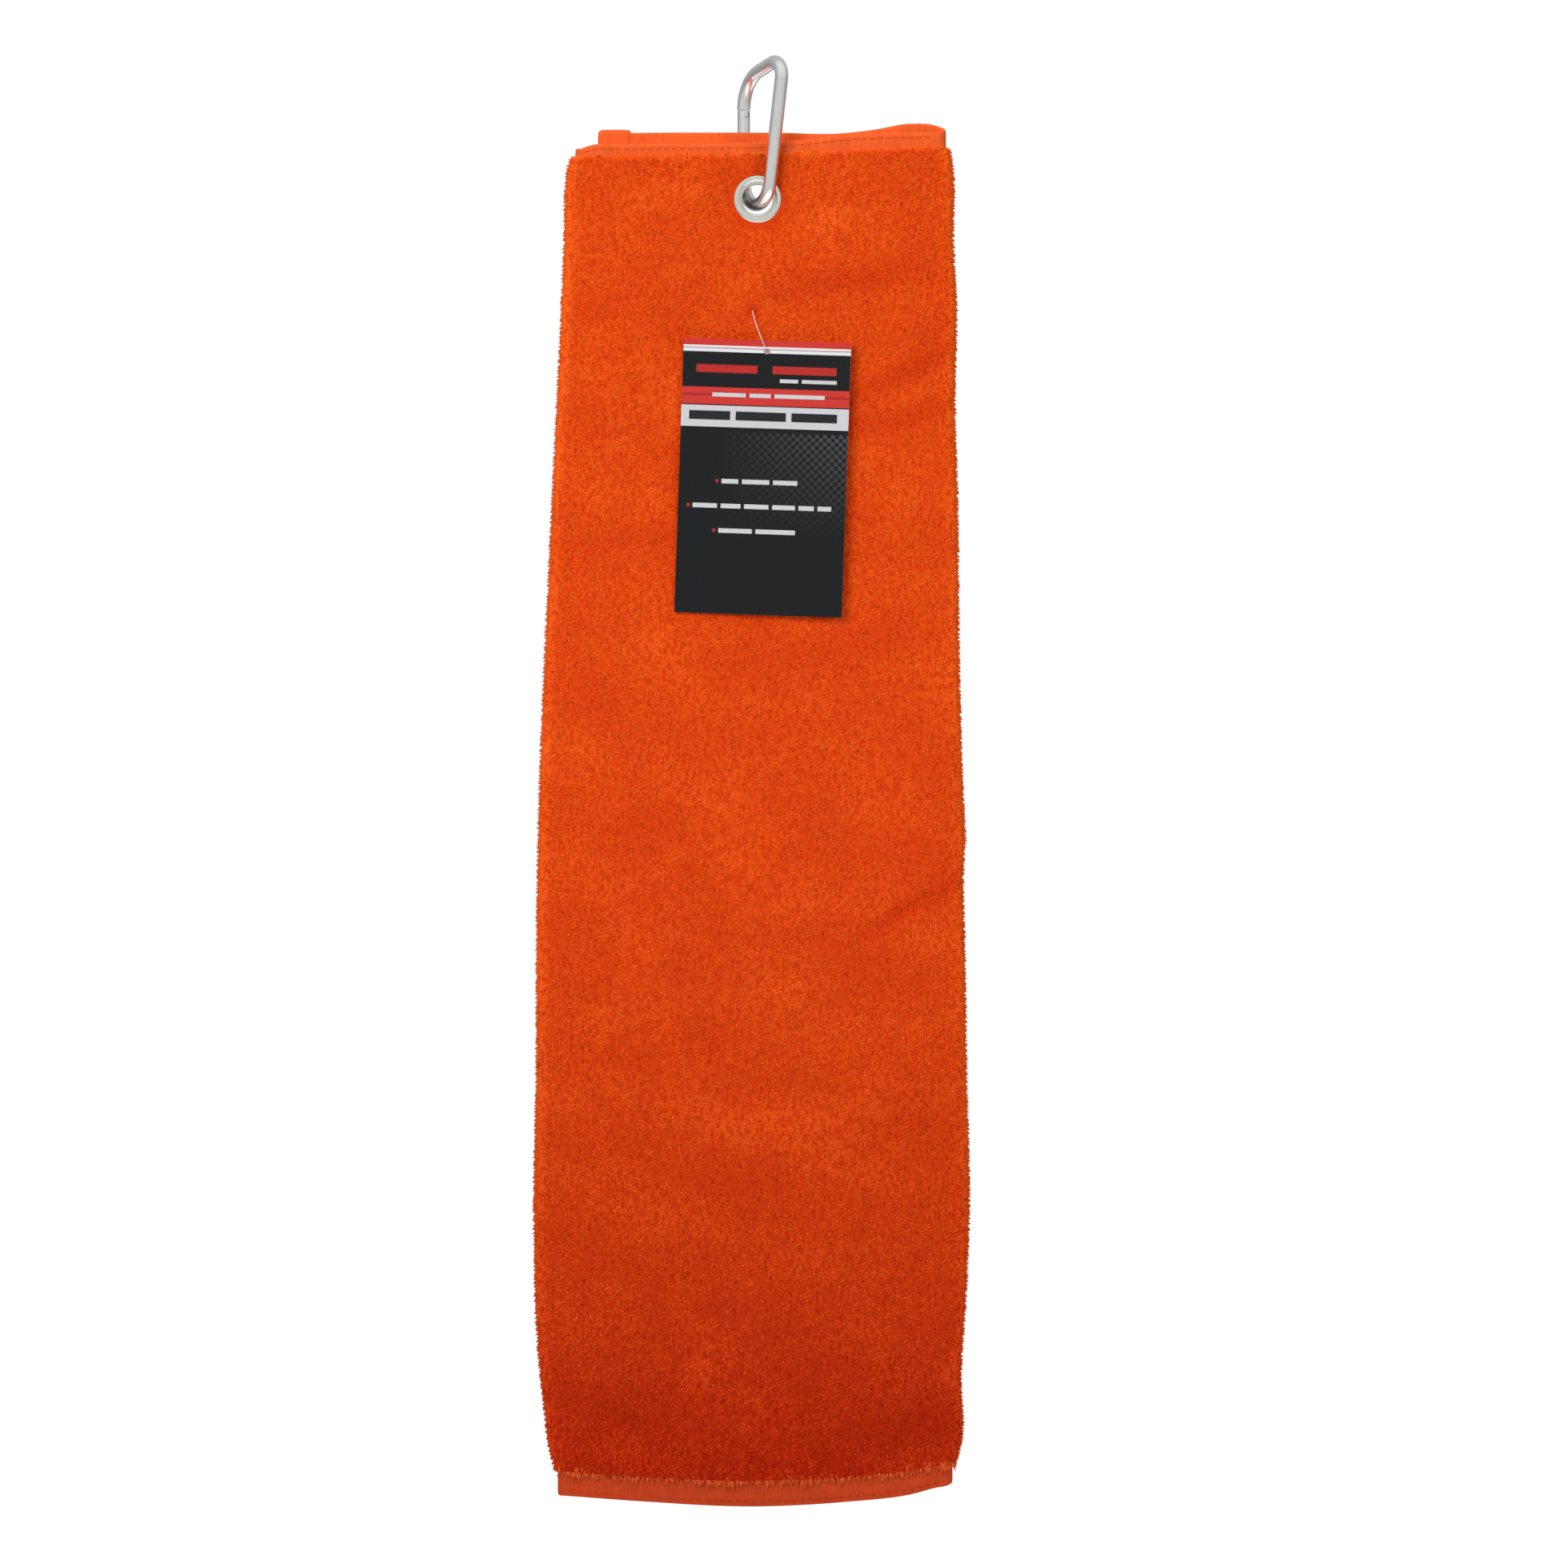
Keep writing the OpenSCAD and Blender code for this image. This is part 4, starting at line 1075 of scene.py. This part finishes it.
# closed outlines of the eyelet and its washer: radius, then depth
EYELET = [(8.0, -2.55), (7.95, -2.85), (7.6, -3.25), (7.0, -3.45), (6.4, -3.38), (6.0, -3.05), (5.75, -2.95),
          (5.6, -3.15), (5.35, -3.35), (5.08, -3.2), (5.0, -2.8), (5.0, -0.5), (5.0, 2.8), (5.02, 3.4),
          (5.3, 3.85), (5.75, 3.9), (6.05, 3.55), (5.95, 3.1), (5.6, 2.98), (5.4, 2.9), (5.38, 0),
          (5.4, -2.3), (5.6, -2.5), (7.7, -2.48)]
WASHER = [(5.45, 2.55), (5.45, 2.88), (6.2, 2.92), (7.2, 2.95), (7.75, 2.85), (8.0, 2.65), (7.9, 2.52),
          (7.0, 2.5)]
RINGS = (("eyelet_ring", EYELET, "grommet_eyelet"), ("eyelet_washer", WASHER, "grommet_washer"))
for piece_name, profile, cad in RINGS:
    ring = turned(piece_name, rounded(profile), NICKEL)
    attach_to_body(ring, "towel")
    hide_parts(cad)

# ---------------------------------------------------------------- parts that keep their CAD shape

CAD_FINISH = {
    "carabiner_frame": ALUMINIUM, "gate_tube": ALUMINIUM, "gate_pin": STEEL, "gate_plunger": STEEL,
    "gate_spring": STEEL, "fastener_bar": NYLON,
}
for name, material in CAD_FINISH.items():
    slots = frame["nodes"][name].data.materials
    slots.clear()
    slots.append(material)

# ---------------------------------------------------------------- stage, light and camera

scene = bpy.context.scene
FRAME_W = 0.5152
LENS, SENSOR = 200.0, 36.0
AIM = HOLE + MM * np.array([8.7, 0.0, -192.0])


def build_floor():
    """A small round white table top under the hanging towel."""
    radius, drop, sides = 0.72, 0.16, 96
    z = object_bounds()[0][2] - drop
    angles = [math.tau * k / sides for k in range(sides)]
    rim = [(radius * math.cos(a), radius * math.sin(a), z) for a in angles]
    mesh = bpy.data.meshes.new("floor")
    mesh.from_pydata(rim, [], [tuple(range(sides))])
    floor = bpy.data.objects.new("floor", mesh)
    scene.collection.objects.link(floor)
    material, tree, shader = new_material("pale_floor")
    soft = noise(tree, place_coordinates(tree), 3.0)
    link(tree, mix_colour(tree, soft, (0.95, 0.95, 0.95), (0.98, 0.98, 0.98)), shader.inputs["Base Color"])
    shader.inputs["Roughness"].default_value = 0.9
    mesh.materials.append(material)
    floor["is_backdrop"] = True


def area_light(name, place, aim, size, power):
    """A round soft light that the metal doesn't mirror."""
    data = bpy.data.lights.new(name, "AREA")
    data.shape = "DISK"
    data.size = size
    data.energy = power
    light = bpy.data.objects.new(name, data)
    light.location = place
    light.rotation_euler = (Vector(aim) - Vector(place)).to_track_quat("-Z", "Y").to_euler()
    light.visible_glossy = False
    scene.collection.objects.link(light)


def build_world():
    """An even pale studio: white to look at, softer to light by, and deeper behind for the metal."""
    world = bpy.data.worlds.new("studio")
    world.use_nodes = True
    tree = world.node_tree
    background = tree.nodes["Background"]
    coordinates = node(tree, "ShaderNodeTexCoord")
    split = node(tree, "ShaderNodeSeparateXYZ")
    link(tree, coordinates.outputs["Generated"], split.inputs["Vector"])

    def gradient(axis, low, high, stops):
        ramp = node(tree, "ShaderNodeValToRGB")
        elements = ramp.color_ramp.elements
        elements[0].position, elements[1].position = stops[0][0], stops[-1][0]
        for place, _ in stops[1:-1]:
            elements.new(place)
        for element, (_, grey) in zip(elements, stops):
            element.color = (grey, grey, grey * 1.01, 1)
        link(tree, remap(tree, split.outputs[axis], low, high, 0.0, 1.0), ramp.inputs["Fac"])
        return ramp.outputs["Color"]

    lit = gradient("Z", -0.7, 0.8, [(0.0, 0.06), (1.0, 0.40)])
    ahead = gradient("Y", -1.0, 1.0, [(0.0, 1.0), (0.30, 0.85), (0.48, 0.30), (0.7, 0.20), (1.0, 0.4)])
    above = gradient("Z", -1.0, 1.0, [(0.0, 0.15), (0.45, 0.48), (0.6, 0.66), (1.0, 0.95)])
    mirrored = mix_colour(tree, 0.5, ahead, above)
    path = node(tree, "ShaderNodeLightPath")
    colour = mix_colour(tree, path.outputs["Is Glossy Ray"], lit, mirrored)
    seen = mix_colour(tree, path.outputs["Is Camera Ray"], colour, (1.0, 1.0, 1.0))
    link(tree, seen, background.inputs["Color"])
    scene.world = world


build_floor()
build_world()
area_light("key", (-0.6, -1.3, 0.3), tuple(AIM + np.array([0, 0, 0.1])), 0.9, 15.5)
area_light("fill", (1.0, -1.4, 0.3), tuple(AIM + np.array([0, 0, 0.15])), 0.9, 7)
area_light("overhead", (0.0, 0.0, 1.5), (0, 0, -0.5), 2.0, 23)
area_light("back", (0.6, 1.3, 0.4), tuple(AIM), 0.9, 9)

camera_data = bpy.data.cameras.new("camera")
camera_data.lens = LENS
camera_data.sensor_width = SENSOR
camera_data.dof.use_dof = False
camera = bpy.data.objects.new("camera", camera_data)
camera.location = AIM + np.array([0, -FRAME_W * LENS / SENSOR, 0])
camera.rotation_euler = (math.pi / 2, 0, 0)
scene.collection.objects.link(camera)
scene.camera = camera
scene.view_settings.view_transform = "Standard"
